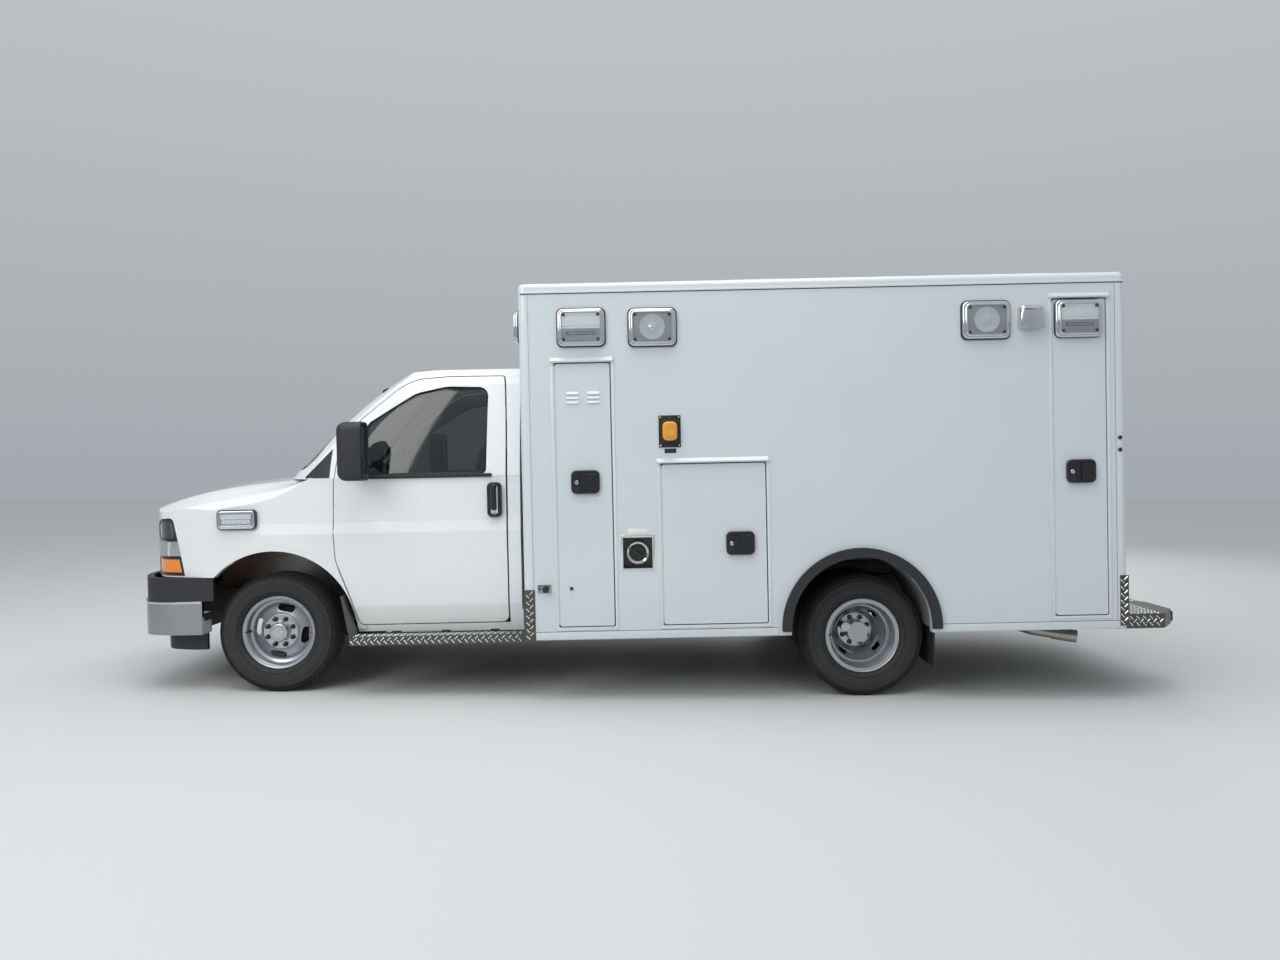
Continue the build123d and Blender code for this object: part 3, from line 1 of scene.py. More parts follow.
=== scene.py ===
"""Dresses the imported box-bodied ambulance: finishes on its CAD nodes, modelled trim, floor, light and camera."""

import logging
import math
from collections.abc import Callable, Iterator, Sequence
from contextlib import contextmanager
from dataclasses import dataclass, field
from enum import Enum

import bmesh
import bpy
from mathutils import Matrix, Vector


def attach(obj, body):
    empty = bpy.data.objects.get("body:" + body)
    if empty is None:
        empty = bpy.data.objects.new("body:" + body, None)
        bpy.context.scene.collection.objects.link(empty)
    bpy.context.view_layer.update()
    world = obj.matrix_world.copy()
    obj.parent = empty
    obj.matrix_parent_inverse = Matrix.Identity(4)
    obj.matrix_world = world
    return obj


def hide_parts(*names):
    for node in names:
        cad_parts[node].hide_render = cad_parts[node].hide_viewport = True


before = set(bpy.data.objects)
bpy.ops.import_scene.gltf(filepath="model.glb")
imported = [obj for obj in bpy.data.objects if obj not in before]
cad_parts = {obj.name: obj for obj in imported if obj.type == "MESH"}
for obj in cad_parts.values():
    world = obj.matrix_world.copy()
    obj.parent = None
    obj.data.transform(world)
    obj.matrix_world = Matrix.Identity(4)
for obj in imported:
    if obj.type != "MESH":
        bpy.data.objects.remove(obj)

logging.basicConfig(level=logging.INFO, format="%(relativeCreated)d ms %(message)s")
LOG = logging.getLogger("ambulance")

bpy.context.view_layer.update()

Piece = bpy.types.Object
Socket = bpy.types.NodeSocket
Tree = bpy.types.NodeTree
Point = Sequence[float]
Span = tuple[float, float]
FaceTest = Callable[[Vector, Vector], bool]

MM = 0.001

# The sprung body sits nose down by this much, turned about the front axle's ground point
RAKE_DEGREES = 1.2
FRONT_AXLE_X = -2.257
WHEELBASE = 3.531
TYRE_RADIUS = 0.362
FRONT_TRACK_Y = 0.873
REAR_OUTER_Y = 0.972
DUAL_SPACING = 0.272
ROOT = "vehicle"

# Turns body coordinates, X back from the front axle, into the row frame
TIP = Matrix.Translation((FRONT_AXLE_X, 0, 0)) @ Matrix.Rotation(math.radians(-RAKE_DEGREES), 4, "Y")
UNTIP = TIP.inverted()


class Side(Enum):
    """Which side of the vehicle a piece is on, as the sign of its Y."""

    LEFT = -1
    RIGHT = 1

    @property
    def word(self) -> str:
        """The side as it stands in node and body names."""
        return self.name.lower()


class Axis(Enum):
    """Axes that a shape can be drawn along."""

    X = 0
    Y = 1
    Z = 2


# Finishes

DUST_COLOUR = "8C8579"
DUST_TOP_Z = 0.75
DUST_FULL_Z = 0.2
DUST_SPECK_MM = 60
LACQUER_ROUGHNESS = 0.04


def linear(code: str) -> tuple[float, float, float, float]:
    """Turns an sRGB hex colour into linear light.

    Args:
        code: Six hex digits, red first.

    Returns:
        Linear red, green, blue and an alpha of 1.
    """
    shares = [int(code[i : i + 2], 16) / 255 for i in (0, 2, 4)]
    parts = [s / 12.92 if s <= 0.04045 else ((s + 0.055) / 1.055) ** 2.4 for s in shares]
    return (parts[0], parts[1], parts[2], 1.0)


def add_node(tree: Tree, kind: str, inputs: dict | None = None, **settings: object) -> bpy.types.Node:
    """Adds one shader node.

    Args:
        tree: The material's node tree.
        kind: Blender's class name of the node.
        inputs: Socket name or index to a value, or to the output socket that feeds it.
        settings: The node's own options.

    Returns:
        The new node.
    """
    node = tree.nodes.new(kind)
    for option, value in settings.items():
        setattr(node, option, value)
    for socket, value in (inputs or {}).items():
        if isinstance(value, Socket):
            tree.links.new(value, node.inputs[socket])
        else:
            node.inputs[socket].default_value = value
    return node


def mixed(tree: Tree, factor: Socket, first: Socket | Sequence[float], second: str) -> Socket:
    """Mixes a colour, or what feeds one, with a second colour given in hex."""
    mix = add_node(tree, "ShaderNodeMix", {"Factor": factor}, data_type="RGBA")
    if isinstance(first, Socket):
        tree.links.new(first, mix.inputs["A"])
    else:
        mix.inputs["A"].default_value = first
    mix.inputs["B"].default_value = linear(second)
    return mix.outputs["Result"]


@dataclass(frozen=True)
class Finish:
    """A surface: its two colours, its gloss, and one grain as size and depth in millimetres."""

    name: str
    slot: str
    colour: str
    second: str
    roughness: float
    grain: Span
    patch_mm: float = 400.0
    metallic: float = 0.0
    coat: float = 0.0
    rough_spread: float = 0.06
    alpha: float = 1.0
    sheen: float = 0.0
    stretch: tuple[float, float, float] = (1.0, 1.0, 1.0)
    dust: float = 0.0
    glow: float = 0.0

    def material(self) -> bpy.types.Material:
        """Builds the material once and returns it."""
        made = bpy.data.materials.get(self.name)
        if made:
            return made
        made = bpy.data.materials.new(self.name)
        made.use_nodes = True
        tree = made.node_tree
        shader = tree.nodes["Principled BSDF"]
        place = add_node(tree, "ShaderNodeTexCoord").outputs["Object"]
        grained = add_node(tree, "ShaderNodeMapping", {"Vector": place, "Scale": self.stretch}).outputs["Vector"]
        colour = self.tinted(tree, place)
        if self.dust:
            colour = self.dusted(tree, place, colour)
        height = self.height(tree, grained)
        half = self.rough_spread / 2
        gloss = {"Value": height, "To Min": self.roughness - half, "To Max": self.roughness + half}
        bumps = {"Height": height, "Distance": self.grain[1] * MM, "Strength": 1.0}
        tree.links.new(colour, shader.inputs["Base Color"])
        tree.links.new(add_node(tree, "ShaderNodeMapRange", gloss).outputs["Result"], shader.inputs["Roughness"])
        tree.links.new(add_node(tree, "ShaderNodeBump", bumps).outputs["Normal"], shader.inputs["Normal"])
        values = {
            "Metallic": self.metallic, "Coat Weight": self.coat, "Coat Roughness": LACQUER_ROUGHNESS,
            "Sheen Weight": self.sheen, "Alpha": self.alpha,
        }
        if self.glow:
            values |= {"Emission Color": linear(self.colour), "Emission Strength": self.glow}
        for socket, value in values.items():
            shader.inputs[socket].default_value = value
        return made

    def tinted(self, tree: Tree, place: Socket) -> Socket:
        """The two colours mixed in large soft patches."""
        noise = {"Vector": place, "Scale": 1 / (self.patch_mm * MM), "Detail": 3.0}
        patch = add_node(tree, "ShaderNodeTexNoise", noise).outputs["Fac"]
        return mixed(tree, patch, linear(self.colour), self.second)

    def dusted(self, tree: Tree, place: Socket, colour: Socket) -> Socket:
        """Adds road dust that thins out above the wheels."""
        height = add_node(tree, "ShaderNodeSeparateXYZ", {"Vector": place}).outputs["Z"]
        fade = {"Value": height, "From Min": DUST_FULL_Z, "From Max": DUST_TOP_Z, "To Min": self.dust, "To Max": 0.0}
        fall = add_node(tree, "ShaderNodeMapRange", fade).outputs["Result"]
        noise = {"Vector": place, "Scale": 1 / (DUST_SPECK_MM * MM), "Detail": 6.0, "Roughness": 0.7}
        speck = add_node(tree, "ShaderNodeTexNoise", noise).outputs["Fac"]
        amount = add_node(tree, "ShaderNodeMath", {0: fall, 1: speck}, operation="MULTIPLY").outputs["Value"]
        return mixed(tree, amount, colour, DUST_COLOUR)

    def height(self, tree: Tree, place: Socket) -> Socket:
        """Height of the fine grain."""
        noise = {"Vector": place, "Scale": 1 / (self.grain[0] * MM), "Detail": 2.0, "Roughness": 0.5}
        return add_node(tree, "ShaderNodeTexNoise", noise).outputs["Fac"]


@dataclass(frozen=True)
class Leathered(Finish):
    """Moulded plastic or rubber whose tool left small rounded pebbles."""

    def height(self, tree: Tree, place: Socket) -> Socket:
        """Height of the pebbles, cell by cell."""
        cells = {"Vector": place, "Scale": 1 / (self.grain[0] * MM)}
        return add_node(tree, "ShaderNodeTexVoronoi", cells, feature="SMOOTH_F1").outputs["Distance"]


@dataclass(frozen=True)
class Woven(Finish):
    """Plain woven cloth, warp over weft, on the object's own axes."""

    def height(self, tree: Tree, place: Socket) -> Socket:
        """Height of the threads, from two crossed waves."""
        waves = {"Vector": place, "Scale": 1 / (self.grain[0] * MM) / 2, "Distortion": 0.4}
        warp, weft = (
            add_node(tree, "ShaderNodeTexWave", waves, bands_direction=way).outputs["Fac"] for way in ("Y", "DIAGONAL")
        )
        return add_node(tree, "ShaderNodeMath", {0: warp, 1: weft}, operation="MAXIMUM").outputs["Value"]


# Baked automotive enamel under clear lacquer: a deep even gloss with faint orange peel
CAB_PAINT = Finish("cab_enamel_white", "white_paint", "E9ECEC", "E4E8E8", 0.28, (6, 0.012), coat=1.0, dust=0.25)
# Sprayed polyurethane on aluminium sheet, with the slow waves of thin sheet; its greyer, cooler tone than the cab's
# white is painted shade
SHADED_BOX_PAINT = Finish("box_polyurethane_white", "box_paint", "D3DBDE", "CDD6DA", 0.3, (260, 0.5), coat=0.8, dust=0.25)
# The same paint on extrusions, which stay flat; its grey tone is painted shade too
SHADED_RAIL_PAINT = Finish("extrusion_paint_white", "box_paint", "D8DFE2", "D2DADD", 0.3, (9, 0.015), coat=0.8, dust=0.3)
# Mill finish sheet: rolled grain along the sheet, soft broad highlights
MILL_SHEET = Finish(
    "mill_aluminium", "liner_metal", "B9BBBC", "A9ABAD", 0.42, (2.5, 0.02), metallic=1.0, stretch=(0.12, 1, 1)
)
# Bright rolled tread plate, polished on its raised bars
TREAD_BRIGHT = Finish("tread_aluminium", "tread_plate", "F2F2EE", "E4E5E0", 0.22, (5, 0.03), metallic=1.0, dust=0.08)
# The sheet between the bars, its dark grey painted shade so the polished bars stand out, with road dust low down
TREAD_SHADED = Finish(
    "tread_sheet_worn", "tread_plate", "676A63", "565950", 0.42, (4, 0.05), 60, metallic=1.0, dust=0.12
)
# Chromed steel and die castings: a near mirror
CHROME = Finish("chromed_steel", "chrome", "DCDFE2", "CFD3D7", 0.06, (30, 0.02), metallic=1.0, rough_spread=0.03)
# Polished chrome coloured grey as a painted reflection of the road under it, with road dust low down
PAINTED_REFLECTION_CHROME = Finish(
    "bumper_chrome", "chrome", "A4A7A9", "989B9D", 0.12, (40, 0.05), metallic=1.0, rough_spread=0.05, dust=0.3
)
# Moulded polypropylene with a fine pebble grain, dull and nearly black
BLACK_PP = Leathered("grained_polypropylene", "black_plastic", "2A2C30", "222428", 0.55, (3.0, 0.12), 150)
# Smooth moulded ABS for handles and bezels, with some gloss
BLACK_ABS = Finish("black_abs", "black_plastic", "141519", "101114", 0.3, (2, 0.01), 60, coat=0.3)
# Weathered moulding that has gone slightly green
INLET_BLACK = Leathered("weathered_nylon", "black_plastic", "23271F", "1C1F19", 0.5, (2.5, 0.06), 50)
# The grille's dark ribs: satin grey that reads as depth behind the bright bar
GRILLE_GREY = Leathered("grille_abs_grey", "grille_grey", "3A3C40", "303236", 0.45, (2.5, 0.05), 120)
# Tyre compound: carbon black rubber, slightly bloomed brown on the shoulders
TYRE_RUBBER = Finish("tyre_compound", "tyre", "222326", "1A1B1D", 0.74, (4, 0.12), 70, dust=0.12)
# Silver wheel enamel over pressed steel
WHEEL_SILVER = Finish(
    "wheel_enamel_silver", "wheel_paint", "B4B7BB", "A7AAAE", 0.33, (1.5, 0.02), 90, metallic=0.75, coat=0.4
)
# Bright enamel on the pressed hub caps
CAP_SILVER = Finish(
    "cap_enamel_bright", "wheel_paint", "C2C5C8", "B6B9BC", 0.25, (1.5, 0.01), 60, metallic=0.85, coat=0.5
)
# Sand-cast iron of axles and knuckles: brown-black, coarse and dull
CAST_BLACK = Finish("sand_cast_iron", "cast_iron", "3A3835", "2A2826", 0.7, (3.5, 0.25), 80, metallic=0.6)
# Chassis enamel under road dust: the frame recedes into shadow
CHASSIS_BLACK = Finish("chassis_enamel_black", "chassis_black", "1E1F20", "2B2926", 0.5, (7, 0.05), 160, dust=0.5)
# Aluminised pipe, lightly heat-browned, still bright at its mouth
EXHAUST_STEEL = Finish("aluminised_steel", "cast_iron", "B9B7B2", "9B9893", 0.34, (12, 0.1), 120, metallic=1.0)
# Moulded rubber of flares, boot and flaps: a soft black with a faint pebble
MOULDED_RUBBER = Leathered("moulded_rubber", "rubber", "2B2D31", "222326", 0.62, (3.5, 0.08), 200)
# Cushioned sheet vinyl underfoot, mid grey
VINYL_FLOOR = Leathered("sheet_vinyl_grey", "floor_grey", "77797B", "6B6D70", 0.5, (4, 0.08), 90)
# Woven seat cloth with a soft bloom at its edges
SEAT_CLOTH = Woven("seat_cloth_grey", "seat_fabric", "5A5C61", "4C4E53", 0.85, (3, 0.25), 70, sheen=0.3)
# Warm white cabinet laminate, clean and slightly glossy
LAMINATE = Finish("cabinet_laminate", "furniture", "DCD9D0", "D3D0C7", 0.32, (2, 0.02), 300)
# Wipe-clean bench vinyl in a muted blue grey
BENCH_VINYL = Leathered("bench_vinyl_blue_grey", "furniture", "4C5866", "434E5B", 0.5, (3, 0.15), 90)
# Soft dashboard skin that throws no glare on the screen
DASH_GREY = Leathered("dash_vinyl_grey", "black_plastic", "4A4B4F", "3F4044", 0.6, (2.5, 0.08), 120)
# Tempered side glass with a factory grey-green tint
TINTED_GLASS = Finish(
    "tempered_glass_tinted", "glass", "10191A", "141D1E", 0.03, (300, 0.02), coat=1.0, rough_spread=0.01, alpha=0.5
)
# Silvered mirror glass, as clear as the sky it shows
MIRROR_GLASS = Finish(
    "silvered_glass", "glass", "C9D0D4", "C2CACE", 0.03, (200, 0.02), metallic=1.0, rough_spread=0.01
)
# Clear covers that show the emitters under a thin glint
CLEAR_LENS = Finish(
    "clear_polycarbonate", "lamp_lens", "C9D0D6", "BEC6CD", 0.06, (3, 0.03), coat=0.8, rough_spread=0.02, alpha=0.14
)
# Headlamp covers made opaque metallic grey: painted shade and reflection of the lamp behind a clear cover
HEADLAMP_PAINTED_SHADE = Finish(
    "smoked_polycarbonate", "lamp_lens", "3C3F43", "2F3236", 0.08, (6, 0.15), 50, metallic=0.3, coat=1.0,
    rough_spread=0.04,
)
# Amber marker and turn covers, kept saturated by a faint painted glow though unlit
AMBER_LENS = Finish("amber_polycarbonate", "lamp_lens", "F08A10", "E07808", 0.15, (4, 0.1), coat=0.8, glow=0.12)
# Red stop covers, kept saturated by a faint painted glow though unlit
RED_LENS = Finish("red_polycarbonate", "lamp_lens", "B3121A", "9C0E15", 0.15, (4, 0.1), coat=0.8, glow=0.1)
# Metallised bowls, bright and slightly rippled
REFLECTOR = Finish("vacuum_metallised_reflector", "lamp_lens", "EEF1F5", "E2E6EC", 0.15, (6, 0.3), metallic=1.0)
# The grey tray that sets off the white emitters
LAMP_GREY = Finish("lamp_tray_grey", "lamp_lens", "7C8382", "6A716F", 0.35, (3, 0.05), 60)
# Unlit white emitters behind a fluted cover
LED_WHITE = Finish(
    "led_cover_white", "lamp_lens", "E9EDEF", "D5DCE0", 0.25, (3, 0.4), 30, coat=0.4, stretch=(0.15, 1, 1)
)
# The shore power lid: the one warm spot on the white side
AMBER_ABS = Finish("orange_abs", "lamp_lens", "E8A63A", "E09C30", 0.3, (2, 0.02), 50, coat=0.3)
# A blank vinyl label, whiter than the paint round it
LABEL_WHITE = Finish("label_vinyl_white", "box_paint", "F0F0EE", "E6E6E4", 0.4, (2, 0.01), 50)
# Paintable sealant in the seams, dull grey with road film; the same grey also draws the painted shadow line over each
# sill rail
SEAM_AND_SHADOW_GREY = Finish("seam_sealant_grey", "box_paint", "7B8386", "6E7679", 0.6, (2, 0.03), 40)


def both(*stems: str) -> tuple[str, ...]:
    """The names of the left and the right node of each stem."""
    return tuple(f"{stem}_{side.word}" for stem in stems for side in Side)


NODE_FINISHES: dict[Finish, tuple[str, ...]] = {
    CAB_PAINT: ("hood", "front_fenders", "cab_shell", *both("cab_door")),
    SHADED_BOX_PAINT: (
        *both("box_wall"), "box_wall_front", "box_wall_rear", "box_roof", *both("rear_door"), "entry_door",
        *(f"compartment_door_{place}" for place in ("l1", "l2", "l3", "r1", "r3")),
    ),
    SHADED_RAIL_PAINT: ("box_frame",),
    MILL_SHEET: both("compartments"),
    TREAD_SHADED: ("bright_trim", "rear_step", "rear_step_centre"),
    TINTED_GLASS: (*both("cab_door_glass", "rear_door_glass"), "windscreen", "entry_door_glass"),
    REFLECTOR: ("headlamps", "warning_lamps"),
    BLACK_PP: ("bumper_cover", *both("mirror")),
    DASH_GREY: ("dashboard", "steering_wheel"),
    GRILLE_GREY: ("grille",),
    PAINTED_REFLECTION_CHROME: ("front_bumper",),
    TYRE_RUBBER: both("front_tyre", "dual_tyres"),
    WHEEL_SILVER: both("front_wheel", "dual_wheels"),
    CAST_BLACK: (*both("knuckle"), "axles"),
    CHASSIS_BLACK: ("frame_rails", "cross_members", "fuel_tank"),
    EXHAUST_STEEL: ("engine_and_exhaust",),
    MOULDED_RUBBER: ("arch_flares", "cab_boot"),
    VINYL_FLOOR: ("cab_floor", "box_floor"),
    SEAT_CLOTH: ("cab_seats",),
    LAMINATE: ("patient_furniture",),
}


def dress_nodes() -> None:
    """Gives every CAD node its finish."""
    for finish, names in NODE_FINISHES.items():
        material = finish.material()
        for name in names:
            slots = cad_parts[name].data.materials
            slots.clear()
            slots.append(material)
        LOG.info("finish %s on %d nodes", finish.name, len(names))


# Hand tools

# Faces nearer an axis than this cosine look along it
FACING = 0.9
# Places nearer than this in metres are the same
TOUCH = 1e-5
WELD = 2e-5


def select_only(*pieces: Piece) -> None:
    """Selects these pieces alone and makes the first one active."""
    bpy.ops.object.select_all(action="DESELECT")
    for piece in pieces:
        piece.select_set(True)
    bpy.context.view_layer.objects.active = pieces[0]


@contextmanager
def editing(piece: Piece, every: bool = False) -> Iterator[None]:
    """Holds one piece in edit mode.

    Args:
        piece: The mesh to work on.
        every: Whether it starts with everything selected, or with nothing.
    """
    select_only(piece)
    bpy.ops.object.mode_set(mode="EDIT")
    bpy.ops.mesh.select_all(action="SELECT" if every else "DESELECT")
    yield
    bpy.ops.object.mode_set(mode="OBJECT")


def pick_faces(piece: Piece, test: FaceTest) -> None:
    """Selects only the faces that pass a test of their centre and normal, in edit mode."""
    mesh = bmesh.from_edit_mesh(piece.data)
    bpy.ops.mesh.select_mode(type="FACE")
    bpy.ops.mesh.select_all(action="DESELECT")
    for face in [f for f in mesh.faces if test(f.calc_center_median(), f.normal)]:
        face.select_set(True)
    mesh.select_flush(True)
    bmesh.update_edit_mesh(piece.data)


def pick_edges(piece: Piece, test: FaceTest) -> None:
    """Selects only the edges that pass a test of the places of their two ends, in edit mode."""
    bpy.ops.mesh.select_mode(type="EDGE")
    bpy.ops.mesh.select_all(action="DESELECT")
    mesh = bmesh.from_edit_mesh(piece.data)
    for edge in [e for e in mesh.edges if test(e.verts[0].co, e.verts[1].co)]:
        edge.select_set(True)
    mesh.select_flush(False)
    bmesh.update_edit_mesh(piece.data)


def facing(axis: Axis, sign: int) -> FaceTest:
    """A face test for those that look along one axis."""
    return lambda centre, normal: normal[axis.value] * sign > FACING


def outermost(piece: Piece, axis: Axis, sign: int) -> FaceTest:
    """A face test for those that look along an axis and lie furthest out on it, from the mesh as it is now."""
    reach = max(v.co[axis.value] * sign for v in piece.data.vertices)
    return lambda centre, normal: normal[axis.value] * sign > FACING and centre[axis.value] * sign > reach - TOUCH


def along(axis: Axis) -> FaceTest:
    """An edge test for those that run along one axis."""
    return lambda a, b: abs((b - a).normalized()[axis.value]) > 0.99


def drop_faces(piece: Piece, test: FaceTest) -> None:
    """Deletes the faces that pass a test."""
    with editing(piece):
        pick_faces(piece, test)
        bpy.ops.mesh.delete(type="FACE")


def ease_rim(piece: Piece, test: FaceTest, offset: float, segments: int, **options: object) -> None:
    """Rounds the rim of the faces that pass a test, in edit mode.

    Args:
        piece: The mesh to work on.
        test: The faces inside the rim.
        offset: Width of the rounding in metres.
        segments: Facets across it.
        options: Further options of the bevel.
    """
    pick_faces(piece, test)
    bpy.ops.mesh.region_to_loop()
    bpy.ops.mesh.bevel(offset=offset, segments=segments, affect="EDGES", **options)


def started(name: str, add: Callable[..., set[str]], **options: object) -> Piece:
    """Starts a piece from one of Blender's primitives.

    Args:
        name: The piece's name.
        add: The operator that adds the primitive.
        options: The operator's options.

    Returns:
        The primitive.
    """
    bpy.ops.object.select_all(action="DESELECT")
    add(**options)
    piece = bpy.context.object
    piece.name = name
    return piece


def block(name: str, low: Point, high: Point) -> Piece:
    """A block between its smallest and largest X, Y and Z, its place held in its mesh."""
    piece = started(name, bpy.ops.mesh.primitive_cube_add, size=1)
    size = [h - l for l, h in zip(low, high)]
    middle = Vector([(h + l) / 2 for l, h in zip(low, high)])
    piece.data.transform(Matrix.Translation(middle) @ Matrix.Diagonal((*size, 1.0)))
    return piece


@dataclass(frozen=True)
class Form:
    """How a moulded or pressed block is eased: corners along one axis, then the rim of its outer face."""

    corner: float
    rim: float
    axis: Axis = Axis.Y
    sign: int = -1
    corner_steps: int = 5
    rim_steps: int = 3


def moulded(name: str, low: Point, high: Point, form: Form) -> Piece:
    """A block with round corners and a soft rim, as it leaves a mould or press.

    Args:
        name: The piece's name.
        low: Its smallest X, Y and Z in metres.
        high: Its largest.
        form: Its radii and the way it faces.

    Returns:
        The piece.
    """
    piece = block(name, low, high)
    outer = outermost(piece, form.axis, form.sign)
    with editing(piece):
        if form.corner:
            pick_edges(piece, along(form.axis))
            bpy.ops.mesh.bevel(offset=form.corner, segments=form.corner_steps, affect="EDGES", clamp_overlap=True)
        if form.rim:
            ease_rim(piece, outer, form.rim, form.rim_steps, clamp_overlap=True)
    return piece


def recess(piece: Piece, axis: Axis, sign: int, margin: float, depth: float, rounding: float = 0.0) -> None:
    """Sinks or raises the outer face inside a margin.

    Args:
        piece: The mesh to work on, in object mode.
        axis: The axis that the face looks along.
        sign: Which way it looks.
        margin: Width of the land left round it.
        depth: How far it sinks, or rises where negative.
        rounding: Extra margin on the way down, for a sloping wall.
    """
    outer = outermost(piece, axis, sign)
    shift = Vector((0, 0, 0))
    shift[axis.value] = -sign * depth
    places = [v.co.copy() for v in piece.data.vertices]
    size = [max(p[i] for p in places) - min(p[i] for p in places) for i in range(3)]
    with editing(piece):
        pick_faces(piece, outer)
        bpy.ops.mesh.inset(thickness=margin, depth=0)
        bpy.ops.mesh.extrude_region_move(TRANSFORM_OT_translate={"value": shift})
        if rounding:
            share = [1 - 2 * rounding / max(s - 2 * margin, MM) for s in size]
            share[axis.value] = 1.0
            bpy.ops.transform.resize(value=share)


def turned(name: str, rows: Sequence[Span], steps: int = 96, closed: bool = False) -> Piece:
    """A lathe-turned shape about the Y axis, drawn out ring by ring.

    Args:
        name: The piece's name.
        rows: (y, radius) of each ring in metres, in the order that the tool runs.
        steps: Facets round.
        closed: Whether the last ring joins the first, as on a tyre or rim.

    Returns:
        The shape, centred on the origin.
    """
    y, radius = rows[0]
    circle = {"vertices": steps, "radius": 1.0, "fill_type": "NOTHING", "enter_editmode": True}
    piece = started(name, bpy.ops.mesh.primitive_circle_add, **circle)
    bpy.ops.transform.rotate(value=math.pi / 2, orient_axis="X", center_override=(0, 0, 0))
    bpy.ops.transform.resize(value=(radius, 1, radius), center_override=(0, 0, 0))
    bpy.ops.transform.translate(value=(0, y, 0))
    for next_y, next_radius in [*rows[1:], *rows[: int(closed)]]:
        bpy.ops.mesh.extrude_edges_move(TRANSFORM_OT_translate={"value": (0, next_y - y, 0)})
        share = max(next_radius, TOUCH) / max(radius, TOUCH)
        bpy.ops.transform.resize(value=(share, 1, share), center_override=(0, next_y, 0))
        y, radius = next_y, next_radius
    bpy.ops.mesh.select_all(action="SELECT")
    bpy.ops.mesh.remove_doubles(threshold=WELD)
    bpy.ops.mesh.normals_make_consistent(inside=False)
    bpy.ops.object.mode_set(mode="OBJECT")
    return piece


def apply_modifiers(piece: Piece) -> None:
    """Applies every modifier on a piece, in order."""
    select_only(piece)
    for modifier in list(piece.modifiers):
        bpy.ops.object.modifier_apply(modifier=modifier.name)


def modified(piece: Piece, name: str, kind: str, **settings: object) -> Piece:
    """Adds one modifier to a piece and applies it.

    Args:
        piece: The piece.
        name: The modifier's name.
        kind: Blender's type of the modifier.
        settings: The modifier's options.

    Returns:
        The same piece.
    """
    modifier = piece.modifiers.new(name, kind)
    for option, value in settings.items():
        setattr(modifier, option, value)
    apply_modifiers(piece)
    return piece


def softened(piece: Piece, width: float, steps: int = 2) -> Piece:
    """Breaks every sharp edge of a piece with a small bevel, steps facets across and width metres wide."""
    return modified(
        piece, "edge", "BEVEL", width=width, segments=steps, limit_method="ANGLE", angle_limit=math.radians(40.0),
        miter_outer="MITER_ARC", use_clamp_overlap=True,
    )


def thickened(piece: Piece, by: float) -> Piece:
    """Gives a sheet of faces a thickness along its normals."""
    return modified(piece, "thick", "SOLIDIFY", thickness=by, offset=1.0)


def cut(piece: Piece, tools: Sequence[Piece]) -> Piece:
    """Cuts closed shapes out of a piece and removes them."""
    for tool in tools:
        modified(piece, "hole", "BOOLEAN", operation="DIFFERENCE", solver="EXACT", object=tool)
        bpy.data.objects.remove(tool)
    return piece


def joined(name: str, parts: Sequence[Piece]) -> Piece:
    """Joins one or more shapes into one piece of that name."""
    select_only(*parts)
    if len(parts) > 1:
        bpy.ops.object.join()
    parts[0].name = name
    return parts[0]


def moved(piece: Piece, by: Point) -> Piece:
    """Moves a piece's mesh."""
    piece.data.transform(Matrix.Translation(Vector(by)))
    return piece


def turned_by(piece: Piece, degrees: float, axis: Axis, about: Point = (0, 0, 0)) -> Piece:
    """Turns a piece's mesh about a line through a point."""
    centre = Matrix.Translation(Vector(about))
    piece.data.transform(centre @ Matrix.Rotation(math.radians(degrees), 4, axis.name) @ centre.inverted())
    return piece


def copy_of(piece: Piece, name: str) -> Piece:
    """A copy of a piece with its own mesh."""
    twin = piece.copy()
    twin.data = piece.data.copy()
    twin.name = name
    bpy.context.scene.collection.objects.link(twin)
    return twin


def mirrored(piece: Piece, name: str) -> Piece:
    """The same piece for the other side of the vehicle."""
    twin = copy_of(piece, name)
    twin.data.transform(Matrix.Diagonal((1, -1, 1, 1)))
    twin.data.flip_normals()
    return twin


def rod(name: str, start: Point, end: Point, radius: float, steps: int) -> Piece:
    """A round bar between two points, its ends chamfered.

    Args:
        name: The piece's name.
        start: One end in metres.
        end: The other end.
        radius: Its radius.
        steps: Facets round.

    Returns:
        The bar.
    """
    run = Vector(end) - Vector(start)
    piece = started(name, bpy.ops.mesh.primitive_cylinder_add, vertices=steps, radius=radius, depth=run.length)
    with editing(piece):
        ease_rim(piece, lambda c, n: abs(n.z) > FACING, min(radius * 0.2, 2 * MM), 2)
    turn = run.to_track_quat("Z", "Y").to_matrix().to_4x4()
    piece.data.transform(Matrix.Translation((Vector(start) + Vector(end)) / 2) @ turn)
    return piece


def bent_rod(name: str, points: Sequence[Point], radius: float) -> Piece:
    """A round bar bent along points, drawn as a curve and made a mesh."""
    curve = bpy.data.curves.new(name, "CURVE")
    curve.dimensions = "3D"
    curve.bevel_depth = radius
    curve.bevel_resolution = 4
    curve.use_fill_caps = True
    curve.resolution_u = 14
    line = curve.splines.new("BEZIER")
    line.bezier_points.add(len(points) - 1)
    for knot, place in zip(line.bezier_points, points):
        knot.co = place
        knot.handle_left_type = knot.handle_right_type = "AUTO"
    holder = bpy.data.objects.new(name, curve)
    bpy.context.scene.collection.objects.link(holder)
    select_only(holder)
    bpy.ops.object.convert(target="MESH")
    return bpy.context.object


